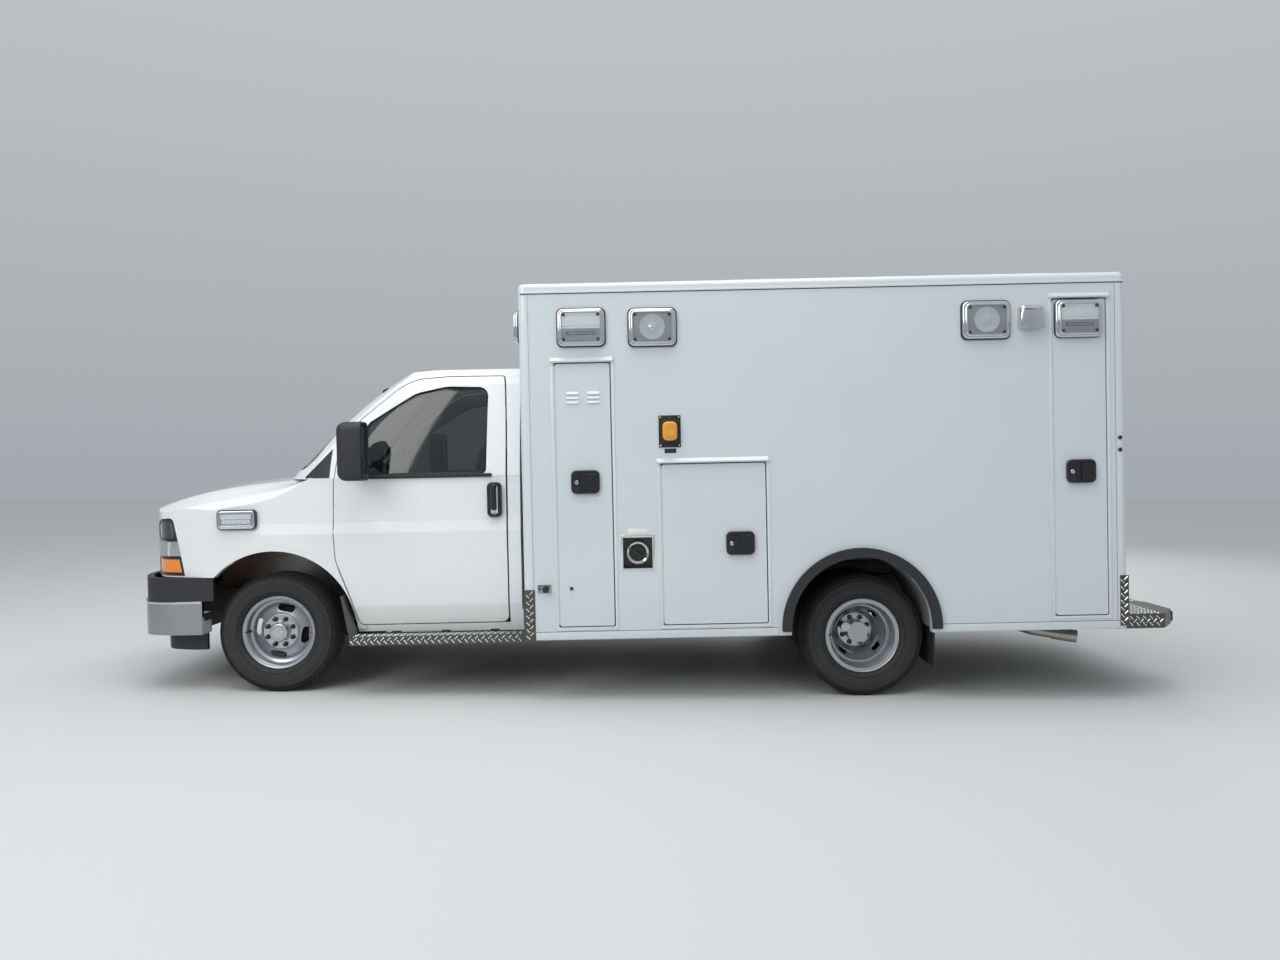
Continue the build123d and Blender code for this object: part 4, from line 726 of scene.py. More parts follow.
def outline_strip(name: str, x: Span, z: Span, y: float, width: float, out: float) -> Piece:
    """A flat frame round a door, standing on a side wall.

    Args:
        name: The piece's name.
        x: Its inner edges front and rear in metres.
        z: Its inner edges below and above.
        y: The wall's face; the strip stands away from the middle of the vehicle.
        width: Width of the strip.
        out: How far it stands out.

    Returns:
        The strip.
    """
    piece = started(name, bpy.ops.mesh.primitive_plane_add, size=1, rotation=(math.pi / 2, 0, 0))
    bpy.ops.object.transform_apply(location=True, rotation=True, scale=True)
    size = (x[1] - x[0] + 2 * width, 1.0, z[1] - z[0] + 2 * width)
    middle = Matrix.Translation(((x[0] + x[1]) / 2, y, (z[0] + z[1]) / 2))
    piece.data.transform(middle @ Matrix.Diagonal((*size, 1.0)))
    with editing(piece, every=True):
        bpy.ops.mesh.inset(thickness=width, depth=0)
        bpy.ops.mesh.delete(type="FACE")
    thickened(piece, out)
    mean_y = sum(v.co.y for v in piece.data.vertices) / len(piece.data.vertices)
    if (mean_y - y) * y < 0:
        moved(piece, (0, math.copysign(out, y), 0))
    return piece


class Assembly:
    """What every sub-assembly does with a piece once its mesh is shaped."""

    def fit(
        self, piece: Piece, finish: Finish, *nodes: str, body: str = ROOT, smooth: float = 32.0, tipped: bool = True
    ) -> None:
        """Dresses a shaped piece and rides it on its body.

        Args:
            piece: The piece, its place held in its mesh in body coordinates.
            finish: Its surface.
            nodes: CAD nodes that it stands for.
            body: The CAD body that it moves with.
            smooth: Edges flatter than this many degrees are shaded smooth.
            tipped: Whether it belongs to the sprung body, which sits nose down.
        """
        if tipped:
            piece.data.transform(TIP)
        piece.data.materials.clear()
        piece.data.materials.append(finish.material())
        select_only(piece)
        bpy.ops.object.shade_smooth_by_angle(angle=math.radians(smooth))
        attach(piece, body)
        if nodes:
            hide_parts(*nodes)
        LOG.info("piece %s rides on %s, %d faces", piece.name, body, len(piece.data.polygons))

    def fit_pair(self, piece: Piece, finish: Finish, body: str = ROOT, smooth: float = 32.0) -> None:
        """Fits a left piece and its mirror image, with _left in the names of the piece and of a body of its own."""
        twin = mirrored(piece, piece.name.replace("_left", "_right"))
        self.fit(piece, finish, body=body, smooth=smooth)
        self.fit(twin, finish, body=body.replace("_left", "_right"), smooth=smooth)


# Wheels

NUT_COUNT = 8
NUT_CIRCLE = 0.0825
HAND_HOLES = 4
WHEEL_SMOOTH = 38
# Each ring of the sidewall, as its distance in from the tyre's widest point and its radius
SIDEWALL = (
    (0.012, 0.232), (0.003, 0.246), (0.0055, 0.2475), (0.0055, 0.2505), (0.0015, 0.252), (0.0, 0.276), (0.001, 0.298),
    (0.0035, 0.2995), (0.0035, 0.3025), (0.0025, 0.304), (0.008, 0.326), (0.018, 0.348), (0.029, 0.3585),
)
# The rolled rim as (y, radius): flanges, bead seats and drop well
RIM_ROWS = (
    (-0.084, 0.2165), (-0.0865, 0.2195), (-0.0855, 0.2215), (-0.082, 0.2215), (-0.0802, 0.219), (-0.0802, 0.2042),
    (-0.03, 0.1995), (-0.022, 0.184), (0.022, 0.184), (0.03, 0.1995), (0.0802, 0.2042), (0.0802, 0.219),
    (0.082, 0.2215), (0.0855, 0.2215), (0.0865, 0.2195), (0.084, 0.2165), (0.078, 0.2), (0.034, 0.1935),
    (0.026, 0.1775), (-0.026, 0.1775), (-0.034, 0.1935), (-0.06, 0.1965), (-0.072, 0.199), (-0.079, 0.2055),
)


@dataclass
class Tyre:
    """A road tyre: crowned tread with four grooves, lugged shoulders, ringed sidewalls."""

    radius: float = TYRE_RADIUS
    half: float = 0.1115
    bead_radius: float = 0.2045
    bead_half: float = 0.0795
    groove_depth: float = 0.009
    pitches: int = 64

    def shape(self, name: str) -> Piece:
        """Turns the tyre about its own axle and cuts its tread."""
        left = [(-self.bead_half, self.bead_radius), (-self.bead_half, 0.2235)]
        left += [(-self.half + inset, radius) for inset, radius in SIDEWALL]
        for centre in (-0.058, -0.02):
            crown = self.radius - 0.0006 - centre * centre * 0.35
            floor = crown - self.groove_depth
            left += [(centre - 0.0045, crown), (centre - 0.003, floor)]
            left += [(centre + 0.003, floor), (centre + 0.0045, crown)]
        tyre = turned(name, left + [(-y, r) for y, r in reversed(left)], steps=self.pitches * 2)
        self.lugs(tyre)
        return tyre

    def lugs(self, tyre: Piece) -> None:
        """Sinks every other shoulder block and fine cuts across the middle ribs."""
        step = math.tau / (self.pitches * 2)

        def on(c: Vector, y: Span, radius: float, shift: int) -> bool:
            """Whether a face lies in a band of the tread, on every other pitch round it."""
            odd = int((math.atan2(c.z, c.x) % math.tau) / step + shift) % 2 == 1
            return y[0] < abs(c.y) < y[1] and math.hypot(c.x, c.z) > radius and odd

        shoulder = (self.half - 0.030, self.half - 0.012)
        middle = (-1.0, self.half - 0.03)
        with editing(tyre):
            pick_faces(tyre, lambda c, n: on(c, shoulder, 0.335, 0))
            bpy.ops.mesh.inset(thickness=0.0014, depth=-0.006, use_individual=True)
            pick_faces(tyre, lambda c, n: on(c, middle, 0.358, 1) and abs(n.y) < 0.3)
            bpy.ops.mesh.inset(thickness=0.0035, depth=-0.004, use_individual=True)


@dataclass
class SteelWheel:
    """A pressed steel wheel with hand holes, eight nuts and a plain cap."""

    pad_y: float = -0.052
    lip_y: float = -0.008
    slot_turn: float = 10.0
    cap_out: float = -0.044
    cap_radius: float = 0.054

    def disc(self, name: str) -> Piece:
        """The pressed disc from the nut circle out to the rim, with four oval hand holes."""
        pad, lip = self.pad_y, self.lip_y
        sheet = 0.007
        front = [
            (pad, 0.03), (pad, 0.099), (pad + 0.002, 0.106), (pad + 0.007, 0.110), (pad + (lip - pad) * 0.34, 0.117),
            (pad + (lip - pad) * 0.72, 0.152), (lip - 0.004, 0.163), (lip - 0.001, 0.168), (lip + 0.002, 0.171),
            (lip + 0.004, 0.178),
        ]
        back = [(y + sheet, r - 0.002) for y, r in reversed(front)]
        disc = turned(name, front + back, closed=True)
        hole = Form(0.0205, 0.0, corner_steps=8)
        tools = []
        for i in range(HAND_HOLES):
            tool = moulded(f"slot_{i}", (-0.052, lip - 0.06, 0.122), (0.052, lip + 0.06, 0.164), hole)
            tools.append(turned_by(tool, 90 * i + self.slot_turn, Axis.Y))
        return cut(disc, tools)

    def nut(self, name: str) -> Piece:
        """One flanged wheel nut with a domed end, facing -Y."""
        hexagon = {"vertices": 6, "radius": 0.0122, "depth": 0.026, "rotation": (math.pi / 2, 0, 0)}
        nut = started(name, bpy.ops.mesh.primitive_cylinder_add, **hexagon)
        bpy.ops.object.transform_apply(location=True, rotation=True, scale=True)
        with editing(nut):
            pick_faces(nut, facing(Axis.Y, -1))
            bpy.ops.mesh.inset(thickness=0.002, depth=0.0035)
            bpy.ops.mesh.inset(thickness=0.003, depth=0.002)
        rows = [(-0.0125, 0.0001), (-0.0125, 0.0135), (-0.009, 0.0155), (-0.006, 0.0155)]
        washer = moved(turned(f"{name}_washer", rows, steps=20), (0, 0.016, 0))
        return moved(joined(name, [nut, washer]), (0, self.pad_y - 0.011, NUT_CIRCLE))

    def cap(self, name: str) -> Piece:
        """The hub and its plain pressed cap, scalloped clear of the nuts."""
        y, out, face = self.pad_y, self.cap_out, self.cap_radius
        rows = [
            (y + 0.001, 0.104), (y - 0.0008, 0.1025), (y - 0.0015, 0.099), (y - 0.0015, 0.066), (y - 0.010, 0.064),
            (y + out * 0.55, face + 0.003), (y + out * 0.90, face), (y + out * 0.98, face - 0.004),
            (y + out, face - 0.009), (y + out, 0.0405), (y + out + 0.002, 0.039), (y + out + 0.002, 0.0375),
            (y + out - 0.001, 0.036), (y + out - 0.001, 0.0001),
        ]
        cap = turned(name, rows)
        dents = []
        for i in range(NUT_COUNT):
            dent = rod(f"dent_{i}", (0, y + out - 0.02, NUT_CIRCLE), (0, y - 0.003, NUT_CIRCLE), 0.0275, 24)
            dents.append(turned_by(dent, 45 * (i + 0.5), Axis.Y))
        return cut(cap, dents)

    def valve(self, name: str) -> Piece:
        """The valve stem in its rubber snap-in base."""
        stem = rod(name, (0, -0.055, 0), (0, -0.092, 0.0), 0.0042, 14)
        base = rod(f"{name}_base", (0, -0.043, 0), (0, -0.060, 0), 0.0075, 16)
        valve = turned_by(joined(name, [stem, base]), -18, Axis.X, (0, -0.05, 0))
        return turned_by(moved(valve, (0, 0, 0.186)), -90, Axis.Y)

    def parts(self, word: str) -> list[tuple[Piece, Finish]]:
        """The wheel's parts about the origin, each with its finish."""
        rim = turned(f"{word}_rim", RIM_ROWS, closed=True)
        disc = self.disc(f"{word}_disc")
        nuts = [turned_by(self.nut(f"{word}_nut_{i}"), 45 * (i + 0.5), Axis.Y) for i in range(NUT_COUNT)]
        return [
            (joined(f"{word}_wheel_steel", [rim, disc]), WHEEL_SILVER),
            (joined(f"{word}_nuts", nuts), BLACK_ABS),
            (self.cap(f"{word}_cap"), CAP_SILVER),
            (self.valve(f"{word}_valve"), MOULDED_RUBBER),
        ]


@dataclass
class Wheels(Assembly):
    """Single front wheels on the knuckles and twin wheels on the rear hubs."""

    front: SteelWheel = field(default_factory=SteelWheel)
    rear: SteelWheel = field(default_factory=lambda: SteelWheel(0.127, 0.006, 30.0, -0.084, 0.062))
    tyre: Tyre = field(default_factory=Tyre)

    def build(self) -> None:
        """Builds one of each part and copies it to every hub."""
        tyre = self.tyre.shape("tyre_pattern")
        front, rear = self.front.parts("front"), self.rear.parts("rear")
        for side in Side:
            word = side.word
            body = f"front_wheel_{word}_body"
            at = Vector((FRONT_AXLE_X, side.value * FRONT_TRACK_Y, TYRE_RADIUS))
            for index, (pattern, finish) in enumerate(front):
                nodes = [f"front_wheel_{word}"] if index == 0 else []
                self.hang(pattern, side, at, f"{pattern.name}_front_{word}", finish, body, *nodes)
            self.hang(tyre, side, at, f"front_tyre_tread_{word}", TYRE_RUBBER, body, f"front_tyre_{word}")
            body = f"dual_wheel_{word}_body"
            at = Vector((FRONT_AXLE_X + WHEELBASE, side.value * REAR_OUTER_Y, TYRE_RADIUS))
            for pattern, finish in rear:
                self.hang(pattern, side, at, f"{pattern.name}_rear_{word}", finish, body)
            inner = at - Vector((0, side.value * DUAL_SPACING, 0))
            outer_tyre = self.placed(tyre, side, at, f"outer_tyre_{word}")
            inner_tyre = self.placed(tyre, side, inner, f"inner_tyre_{word}")
            pair = joined(f"dual_tyre_tread_{word}", [outer_tyre, inner_tyre])
            self.fit(pair, TYRE_RUBBER, f"dual_tyres_{word}", body=body, tipped=False, smooth=WHEEL_SMOOTH)
        for pattern in (tyre, *[p for p, _ in front + rear]):
            bpy.data.objects.remove(pattern)

    def placed(self, pattern: Piece, side: Side, at: Vector, name: str) -> Piece:
        """A copy of a pattern on one hub, turned to face outwards."""
        twin = copy_of(pattern, name)
        if side is Side.RIGHT:
            turned_by(twin, 180, Axis.Z)
        return moved(twin, at)

    def hang(
        self, pattern: Piece, side: Side, at: Vector, name: str, finish: Finish, body: str, *nodes: str
    ) -> None:
        """Fits a copy of a pattern on one hub.

        Args:
            pattern: The part about the origin, facing left.
            side: The hub's side.
            at: The hub's middle.
            name: The copy's name.
            finish: Its surface.
            body: The body that it turns with.
            nodes: CAD nodes that it stands for.
        """
        twin = self.placed(pattern, side, at, name)
        self.fit(twin, finish, *nodes, body=body, tipped=False, smooth=WHEEL_SMOOTH)


# Box body trim

BOX_HALF_W = 1.2065
BOX_FRONT_X = 1.537
BOX_REAR_X = 5.060
# Trim starts this far off a wall, so that no two faces lie in one plane
OFF_WALL = 0.0004
LABEL_OFF = 0.0003
# How far a piece that faces left is turned about Z to face each way
TURNS = {"left": 0, "right": 180, "front": -90, "rear": 90}


@dataclass(frozen=True)
class Door:
    """One box door in body metres: side, edges in X and Z, and where its latch sits."""

    node: str
    side: Side
    x: Span
    z: Span
    latch: Span


DOORS = (
    Door("compartment_door_l1", Side.LEFT, (1.745, 2.063), (0.404, 1.932), (1.910, 1.244)),
    Door("compartment_door_l2", Side.LEFT, (2.353, 2.956), (0.404, 1.336), (2.803, 0.871)),
    Door("compartment_door_l3", Side.LEFT, (4.638, 4.940), (0.411, 2.245), (4.787, 1.248)),
    Door("compartment_door_r1", Side.RIGHT, (1.675, 2.075), (0.404, 2.100), (1.985, 1.244)),
    Door("compartment_door_r3", Side.RIGHT, (4.390, 4.940), (0.411, 1.600), (4.800, 1.000)),
    Door("entry_door", Side.RIGHT, (2.290, 2.990), (0.404, 2.240), (2.880, 1.244)),
)


@dataclass
class Latch:
    """A flush paddle latch: tray, lifting paddle and lock barrel."""

    half_w: float = 0.083
    half_h: float = 0.0685
    out: float = 0.0235
    corner: float = 0.030

    def shape(self, name: str) -> list[tuple[Piece, Finish]]:
        """The latch's parts about its centre, facing -Y."""
        w, h = self.half_w, self.half_h
        tray = moulded(f"{name}_tray", (-w, -self.out, -h), (w, 0.0, h), Form(self.corner, 0.005))
        recess(tray, Axis.Y, -1, 0.010, 0.0105, 0.002)
        ease = Form(0.010, 0.003)
        land = moulded(f"{name}_land", (-w + 0.010, -0.0205, -h + 0.012), (-0.030, -0.0132, h - 0.012), ease)
        paddle = moulded(f"{name}_paddle", (0.002, -0.0225, -0.050), (w - 0.012, -0.0132, 0.050), ease)
        recess(paddle, Axis.Y, -1, 0.008, 0.003, 0.001)
        turned_by(paddle, -3, Axis.Z)
        rows = [
            (-0.014, 0.0125), (-0.0215, 0.0125), (-0.023, 0.011), (-0.023, 0.0085), (-0.021, 0.0078), (-0.021, 0.0001),
        ]
        barrel = moved(turned(f"{name}_barrel", rows, steps=28), (-0.052, 0, -0.002))
        # The key slit is a black sliver on the barrel's face: painted shade of the keyway
        keyway_shade = softened(block(f"{name}_slit", (-0.0532, -0.0214, -0.0085), (-0.0508, -0.0200, 0.0045)), 0.0004, 1)
        return [(joined(f"{name}_body", [tray, land, paddle]), BLACK_ABS), (barrel, CHROME), (keyway_shade, BLACK_PP)]


@dataclass
class BoxDoors(Assembly):
    """Latches of the box doors, and the raised frames round the side doors."""

    latch: Latch = field(default_factory=Latch)
    off: float = 0.0005
    strip: float = 0.018
    strip_out: float = 0.0035
    gap: float = 0.0065

    def build(self) -> None:
        """Fits the trim of every door."""
        for door in DOORS:
            y = door.side.value * (BOX_HALF_W + self.off)
            self.hang(door.node, door.side.word, (door.latch[0], y, door.latch[1]))
            self.frame(door)
        for side in Side:
            self.hang(f"rear_door_{side.word}", "rear", (BOX_REAR_X + self.off, side.value * 0.105, 1.255))

    def hang(self, node: str, face: str, at: Point) -> None:
        """Fits one door's latch on the wall that it faces from."""
        for part, finish in self.latch.shape(f"latch_{node}"):
            turned_by(part, TURNS[face], Axis.Z)
            self.fit(moved(part, at), finish, body=f"{node}_body")

    def frame(self, door: Door) -> None:
        """The raised strip round one opening."""
        x = (door.x[0] - self.gap, door.x[1] + self.gap)
        z = (door.z[0] - self.gap, door.z[1] + self.gap)
        face = door.side.value * BOX_HALF_W
        strip = outline_strip(f"frame_{door.node}", x, z, face, self.strip, self.strip_out)
        self.fit(softened(strip, MM), SHADED_RAIL_PAINT)


# Rings of a lens screw from the lamp's face, and of the round bowl behind the lens, as (y, radius)
LENS_SCREW = (
    (0.004, 0.0086), (-0.0004, 0.0086), (-0.0016, 0.0066), (-0.0006, 0.0050), (-0.0018, 0.0034), (-0.0020, 0.0001),
)
BOWL_ROWS = (
    (-0.0295, 0.074), (-0.0345, 0.0735), (-0.0345, 0.071), (-0.0322, 0.052), (-0.0308, 0.020), (-0.0335, 0.014),
    (-0.0345, 0.0001),
)


@dataclass
class Lamp:
    """A surface lamp in a stepped chrome bezel on a black gasket, with LED rows or one round bowl."""

    width: float = 0.274
    height: float = 0.216
    out: float = 0.040
    seal: float = 0.006
    cup_pitch: float = 0.009

    def shape(self, name: str, leds: bool) -> list[tuple[Piece, Finish]]:
        """The lamp's parts about its centre, facing -Y.

        Args:
            name: The lamp's name.
            leds: Whether it has LED rows, or else one round bowl.

        Returns:
            Its parts and their finishes.
        """

        def slab(word: str, reach: float, y: Span, z: Span, *form: float, rim_steps: int = 3) -> Piece:
            """One moulded part that reaches as far forward as back."""
            shape = Form(*form, rim_steps=rim_steps)
            return moulded(f"{name}_{word}", (-reach, y[0], z[0]), (reach, y[1], z[1]), shape)

        half_w, half_h = self.width / 2, self.height / 2
        wide, tall = half_w - 0.024, half_h - 0.023
        rim, hood_h = half_h + self.seal, half_h - 0.013
        gasket = slab("gasket", half_w + self.seal, (-0.014, -OFF_WALL), (-rim, rim), 0.036, 0.004)
        flange = slab("flange", half_w, (-0.0275, -0.0006), (-half_h, half_h), 0.034, 0.010, rim_steps=4)
        hood = slab("hood", half_w - 0.014, (-self.out, -0.0255), (-hood_h, hood_h), 0.028, 0.007, rim_steps=4)
        recess(hood, Axis.Y, -1, 0.005, 0.0115, 0.004)
        lens = slab("lens", wide, (-self.out + 0.0005, -self.out + 0.003), (-tall, tall), 0.016, 0.001)
        dark = self.screws(name, wide - 0.014, tall - 0.014)
        parts = [(joined(f"{name}_bezel", [flange, hood]), CHROME), (lens, CLEAR_LENS)]
        if leds:
            upper = slab("upper", wide - 0.004, (-0.0335, -0.0290), (0.006, tall - 0.004), 0.004, 0.001)
            with editing(upper):
                pick_faces(upper, facing(Axis.Y, -1))
                bpy.ops.mesh.inset(thickness=0.012, depth=-0.002)
            middle = slab("middle", wide - 0.004, (-0.0355, -0.0290), (-0.008, 0.003), 0.002, 0.0015)
            lower = slab("lower", wide - 0.004, (-0.0320, -0.0290), (-tall + 0.004, -0.010), 0.004, 0.001)
            dark.append(slab("slot", wide - 0.028, (-0.0332, -0.0300), (-0.046, -0.024), 0.003, 0.0008))
            parts.append((joined(f"{name}_leds", [upper, middle]), LED_WHITE))
            parts.append((joined(f"{name}_tray", [lower, *self.cups(name, wide)]), LAMP_GREY))
        else:
            parts.append((slab("back", wide, (-0.0300, -0.0288), (-tall, tall), 0.016, 0.0004), LAMP_GREY))
            parts.append((turned(f"{name}_bowl", BOWL_ROWS, steps=56), REFLECTOR))
        parts.append((joined(f"{name}_dark", [gasket, *dark]), BLACK_ABS))
        return parts

    def screws(self, name: str, x: float, z: float) -> list[Piece]:
        """Four dark pan-head screws in the lens's corners."""
        rows = [(y - self.out, radius) for y, radius in LENS_SCREW]
        corners = [(side * x, 0, end * z) for side in (-1, 1) for end in (-1, 1)]
        return [moved(turned(f"{name}_screw", rows, steps=18), corner) for corner in corners]

    def cups(self, name: str, wide: float) -> list[Piece]:
        """The lower row's small square emitters."""
        cups = []
        count = int((wide - 0.034) / self.cup_pitch) * 2
        for i in range(count):
            cup = block(f"{name}_cup", (-0.0032, -0.0340, -0.0395), (0.0032, -0.0330, -0.0305))
            recess(cup, Axis.Y, -1, 0.0008, 0.0004, 0.001)
            cups.append(moved(cup, ((i - (count - 1) / 2) * self.cup_pitch, 0, 0)))
        return cups


@dataclass(frozen=True)
class LampPlace:
    """Where a lamp sits: face it stands on, place on it in body metres, whether it has LED rows, and its body."""

    face: str
    across: float
    up: float
    leds: bool
    body: str = ROOT

    @property
    def at(self) -> tuple[float, float, float]:
        """The point on the box where the lamp's back sits."""
        walls = {
            "left": (self.across, -BOX_HALF_W), "right": (self.across, BOX_HALF_W),
            "front": (BOX_FRONT_X, self.across), "rear": (BOX_REAR_X, self.across),
        }
        return (*walls[self.face], self.up)

    @property
    def lamp(self) -> Lamp:
        """The lamp's size: smaller on the end walls and on a door."""
        if self.face in ("front", "rear"):
            return Lamp(width=0.230, height=0.190)
        return Lamp() if self.body == ROOT else Lamp(width=0.268, seal=0.003)


LAMP_PLACES = tuple(
    LampPlace(*row)
    for row in (
        ("left", 1.903, 2.139, True),
        ("left", 2.315, 2.132, False),
        ("left", 4.245, 2.133, False),
        ("left", 4.780, 2.131, True, "compartment_door_l3_body"),
        ("right", 1.875, 2.240, True),
        ("right", 3.237, 2.132, False),
        ("right", 4.245, 2.133, False),
        ("right", 4.780, 2.131, True),
        ("front", -1.005, 2.165, True),
        ("front", 1.005, 2.165, True),
        ("front", -0.675, 2.210, True),
        ("front", 0.675, 2.210, True),
        ("front", -0.265, 2.210, False),
        ("front", 0.265, 2.210, False),
        ("rear", -1.005, 2.165, True),
        ("rear", 1.005, 2.165, True),
    )
)


class BoxLamps(Assembly):
    """Every lamp on the box."""

    def build(self) -> None:
        """Fits the flanged lamps, the hooded courtesy lamps and the rear lamp stacks."""
        for index, place in enumerate(LAMP_PLACES):
            for part, finish in place.lamp.shape(f"lamp_{index}", place.leds):
                turned_by(part, TURNS[place.face], Axis.Z)
                nodes = ["warning_lamps"] if index == 0 and finish is CHROME else []
                self.fit(moved(part, place.at), finish, *nodes, body=place.body)
        self.domes()
        self.rear_stack()

    def domes(self) -> None:
        """The hooded courtesy lamp near the rear of each side."""
        shell = moulded("courtesy_lamp_left", (-0.068, -0.062, -0.066), (0.068, -0.0006, 0.072), Form(0.020, 0.0))
        with editing(shell):
            pick_edges(shell, lambda a, b: max(a.y, b.y) < -0.061 and min(a.z, b.z) > 0.05)
            bpy.ops.mesh.bevel(offset=0.03, segments=6, affect="EDGES")
        self.fit_pair(moved(softened(shell, 0.003), (4.501, -BOX_HALF_W, 2.140)), CHROME)

    def rear_stack(self) -> None:
        """Stop and turn lamps low on each side of the rear wall."""
        for name, z, height, finish in (("stop", 0.490, 0.140, RED_LENS), ("turn", 0.635, 0.110, AMBER_LENS)):
            half = height / 2
            base = ((-0.088, -0.010, -half - 0.003), (0.088, -0.0005, half + 0.003), Form(0.018, 0.003))
            lens = ((-0.078, -0.028, -half + 0.006), (0.078, -0.008, half - 0.006), Form(0.014, 0.008))
            for word, shape, look in (("base", base, CHROME), ("lens", lens, finish)):
                part = turned_by(moulded(f"{name}_lamp_{word}_left", *shape), TURNS["rear"], Axis.Z)
                self.fit_pair(moved(part, (BOX_REAR_X, -1.005, z)), look)


def wall_slab(name: str, x: Span, off: Span, z: Span, *form: float, **steps: int) -> Piece:
    """A moulded piece on the box's left wall.

    Args:
        name: The piece's name.
        x: Its front and rear ends in body metres.
        off: How far its face and its back stand off the wall.
        z: Its lower and upper ends.
        form: Its corner radius and its rim's.
        steps: Facets across either, as Form names them.

    Returns:
        The piece.
    """
    low, high = (x[0], -BOX_HALF_W - off[0], z[0]), (x[1], -BOX_HALF_W - off[1], z[1])
    return moulded(name, low, high, Form(*form, **steps))


def wall_knob(name: str, x: float, z: float, rows: Sequence[Span], steps: int, off: float = 0.0) -> Piece:
    """A turned piece on the box's left wall.

    Args:
        name: The piece's name.
        x: Its place along the wall in body metres.
        z: Its height.
        rows: Its rings, as in turned.
        steps: Facets round.
        off: How far its origin stands off the wall.

    Returns:
        The piece.
    """
    return moved(turned(name, rows, steps=steps), (x, -BOX_HALF_W - off, z))


class BoxFittings(Assembly):
    """The small things on the box's left side: inlet, filler, bracket, labels and screws."""

    def build(self) -> None:
        """Fits each of them."""
        self.inlet()
        self.filler()
        self.bracket()
        rows = [(-0.0004, 0.012), (-0.006, 0.0115), (-0.009, 0.008), (-0.0095, 0.0001)]
        heads = [wall_knob("post_screw", 5.019, z, rows, 20) for z in (1.439, 1.368)]
        self.fit_pair(joined("post_screws_left", heads), BLACK_ABS)

    def inlet(self) -> None:
        """Shore power inlet: black plate and box, orange lid with its ring, pilot lamp and a blank label."""
        plate = wall_slab("inlet_plate", (2.341, 2.469), (0.005, OFF_WALL), (1.435, 1.621), 0.004, 0.0012)
        box = wall_slab("inlet_box", (2.357, 2.453), (0.024, 0.004), (1.462, 1.592), 0.014, 0.004)
        rows = [(-0.004, 0.0042), (-0.006, 0.004), (-0.0072, 0.0022), (-0.0074, 0.0001)]
        screws = [wall_knob("inlet_screw", x, z, rows, 12) for x in (2.352, 2.459) for z in (1.446, 1.610)]
        self.fit(joined("inlet_black", [plate, box]), INLET_BLACK)
        self.fit(joined("inlet_screws", screws), CHROME)
        lid = wall_slab("inlet_lid", (2.363, 2.447), (0.050, 0.022), (1.474, 1.583), 0.026, 0.010, rim_steps=5)
        rows = [
            (-0.001, 0.0335), (0.0002, 0.0325), (0.0002, 0.0305), (-0.001, 0.0295), (-0.001, 0.0150),
            (0.0006, 0.0135), (0.0006, 0.0001),
        ]
        ring = wall_knob("inlet_ring", 2.405, 1.524, rows, 48, 0.0515)
        mark = wall_slab("inlet_mark", (2.386, 2.424), (0.0508, 0.0495), (1.563, 1.568), 0.002, 0.0004)
        self.fit(joined("inlet_lid_whole", [lid, ring, mark]), AMBER_ABS)
        rows = [(-0.004, 0.006), (-0.010, 0.0058), (-0.013, 0.004), (-0.014, 0.0001)]
        self.fit(wall_knob("inlet_pilot", 2.405, 1.604, rows, 20), CLEAR_LENS)
        label = wall_slab("inlet_label", (2.373, 2.441), (0.0016, LABEL_OFF), (1.402, 1.428), 0.002, 0.0003)
        self.fit(label, BLACK_PP)

    def filler(self) -> None:
        """Fuel filler recess in bright plate: frame, black cap with its grip, neck and a blank label above."""
        frame_x, frame_z = (2.120, 2.290), (0.736, 0.915)
        strip = outline_strip("filler_frame", frame_x, frame_z, -BOX_HALF_W, 0.014, 0.003)
        self.fit(softened(strip, MM), TREAD_BRIGHT)
        at = (2.205, -BOX_HALF_W + 0.030, 0.822)
        rows = [
            (0.030, 0.050), (0.012, 0.050), (0.006, 0.048), (0.006, 0.044), (-0.002, 0.043), (-0.004, 0.041),
            (-0.004, 0.0001),
        ]
        cap = turned("filler_cap", rows, steps=48)
        grip = moulded("filler_grip", (-0.038, -0.020, -0.009), (0.038, -0.002, 0.009), Form(0.008, 0.004))
        turned_by(grip, 28, Axis.Y)
        self.fit(moved(joined("filler_cap_whole", [cap, grip]), at), BLACK_ABS)
        rows = [(0.012, 0.0501), (0.008, 0.062), (0.011, 0.066), (0.016, 0.066), (0.03, 0.052)]
        self.fit(moved(turned("filler_neck", rows, steps=48), at), CHROME)
        label = wall_slab("filler_label", (2.150, 2.262), (0.0014, LABEL_OFF), (0.938, 0.966), 0.002, 0.0003)
        self.fit(label, LABEL_WHITE)

    def bracket(self) -> None:
        """Plate with a black knob and stud ahead of the first door, and the rubber stop on that door."""
        plate = wall_slab("knob_plate", (1.617, 1.697), (0.004, OFF_WALL), (0.601, 0.650), 0.006, 0.001)
        self.fit(plate, PAINTED_REFLECTION_CHROME)
        rows = [
            (-0.004, 0.014), (-0.014, 0.012), (-0.018, 0.018), (-0.034, 0.021), (-0.040, 0.019), (-0.042, 0.012),
            (-0.043, 0.0001),
        ]
        self.fit(wall_knob("knob_black", 1.668, 0.626, rows, 32), BLACK_ABS)
        rows = [(-0.003, 0.007), (-0.012, 0.0068), (-0.014, 0.005), (-0.014, 0.0001)]
        self.fit(wall_knob("knob_stud", 1.630, 0.626, rows, 16), BLACK_ABS)
        rows = [(0.0, 0.010), (-0.006, 0.0098), (-0.009, 0.007), (-0.0095, 0.0001)]
        stop = wall_knob("door_stop", 1.815, 0.625, rows, 20)
        self.fit(stop, MOULDED_RUBBER, body="compartment_door_l1_body")


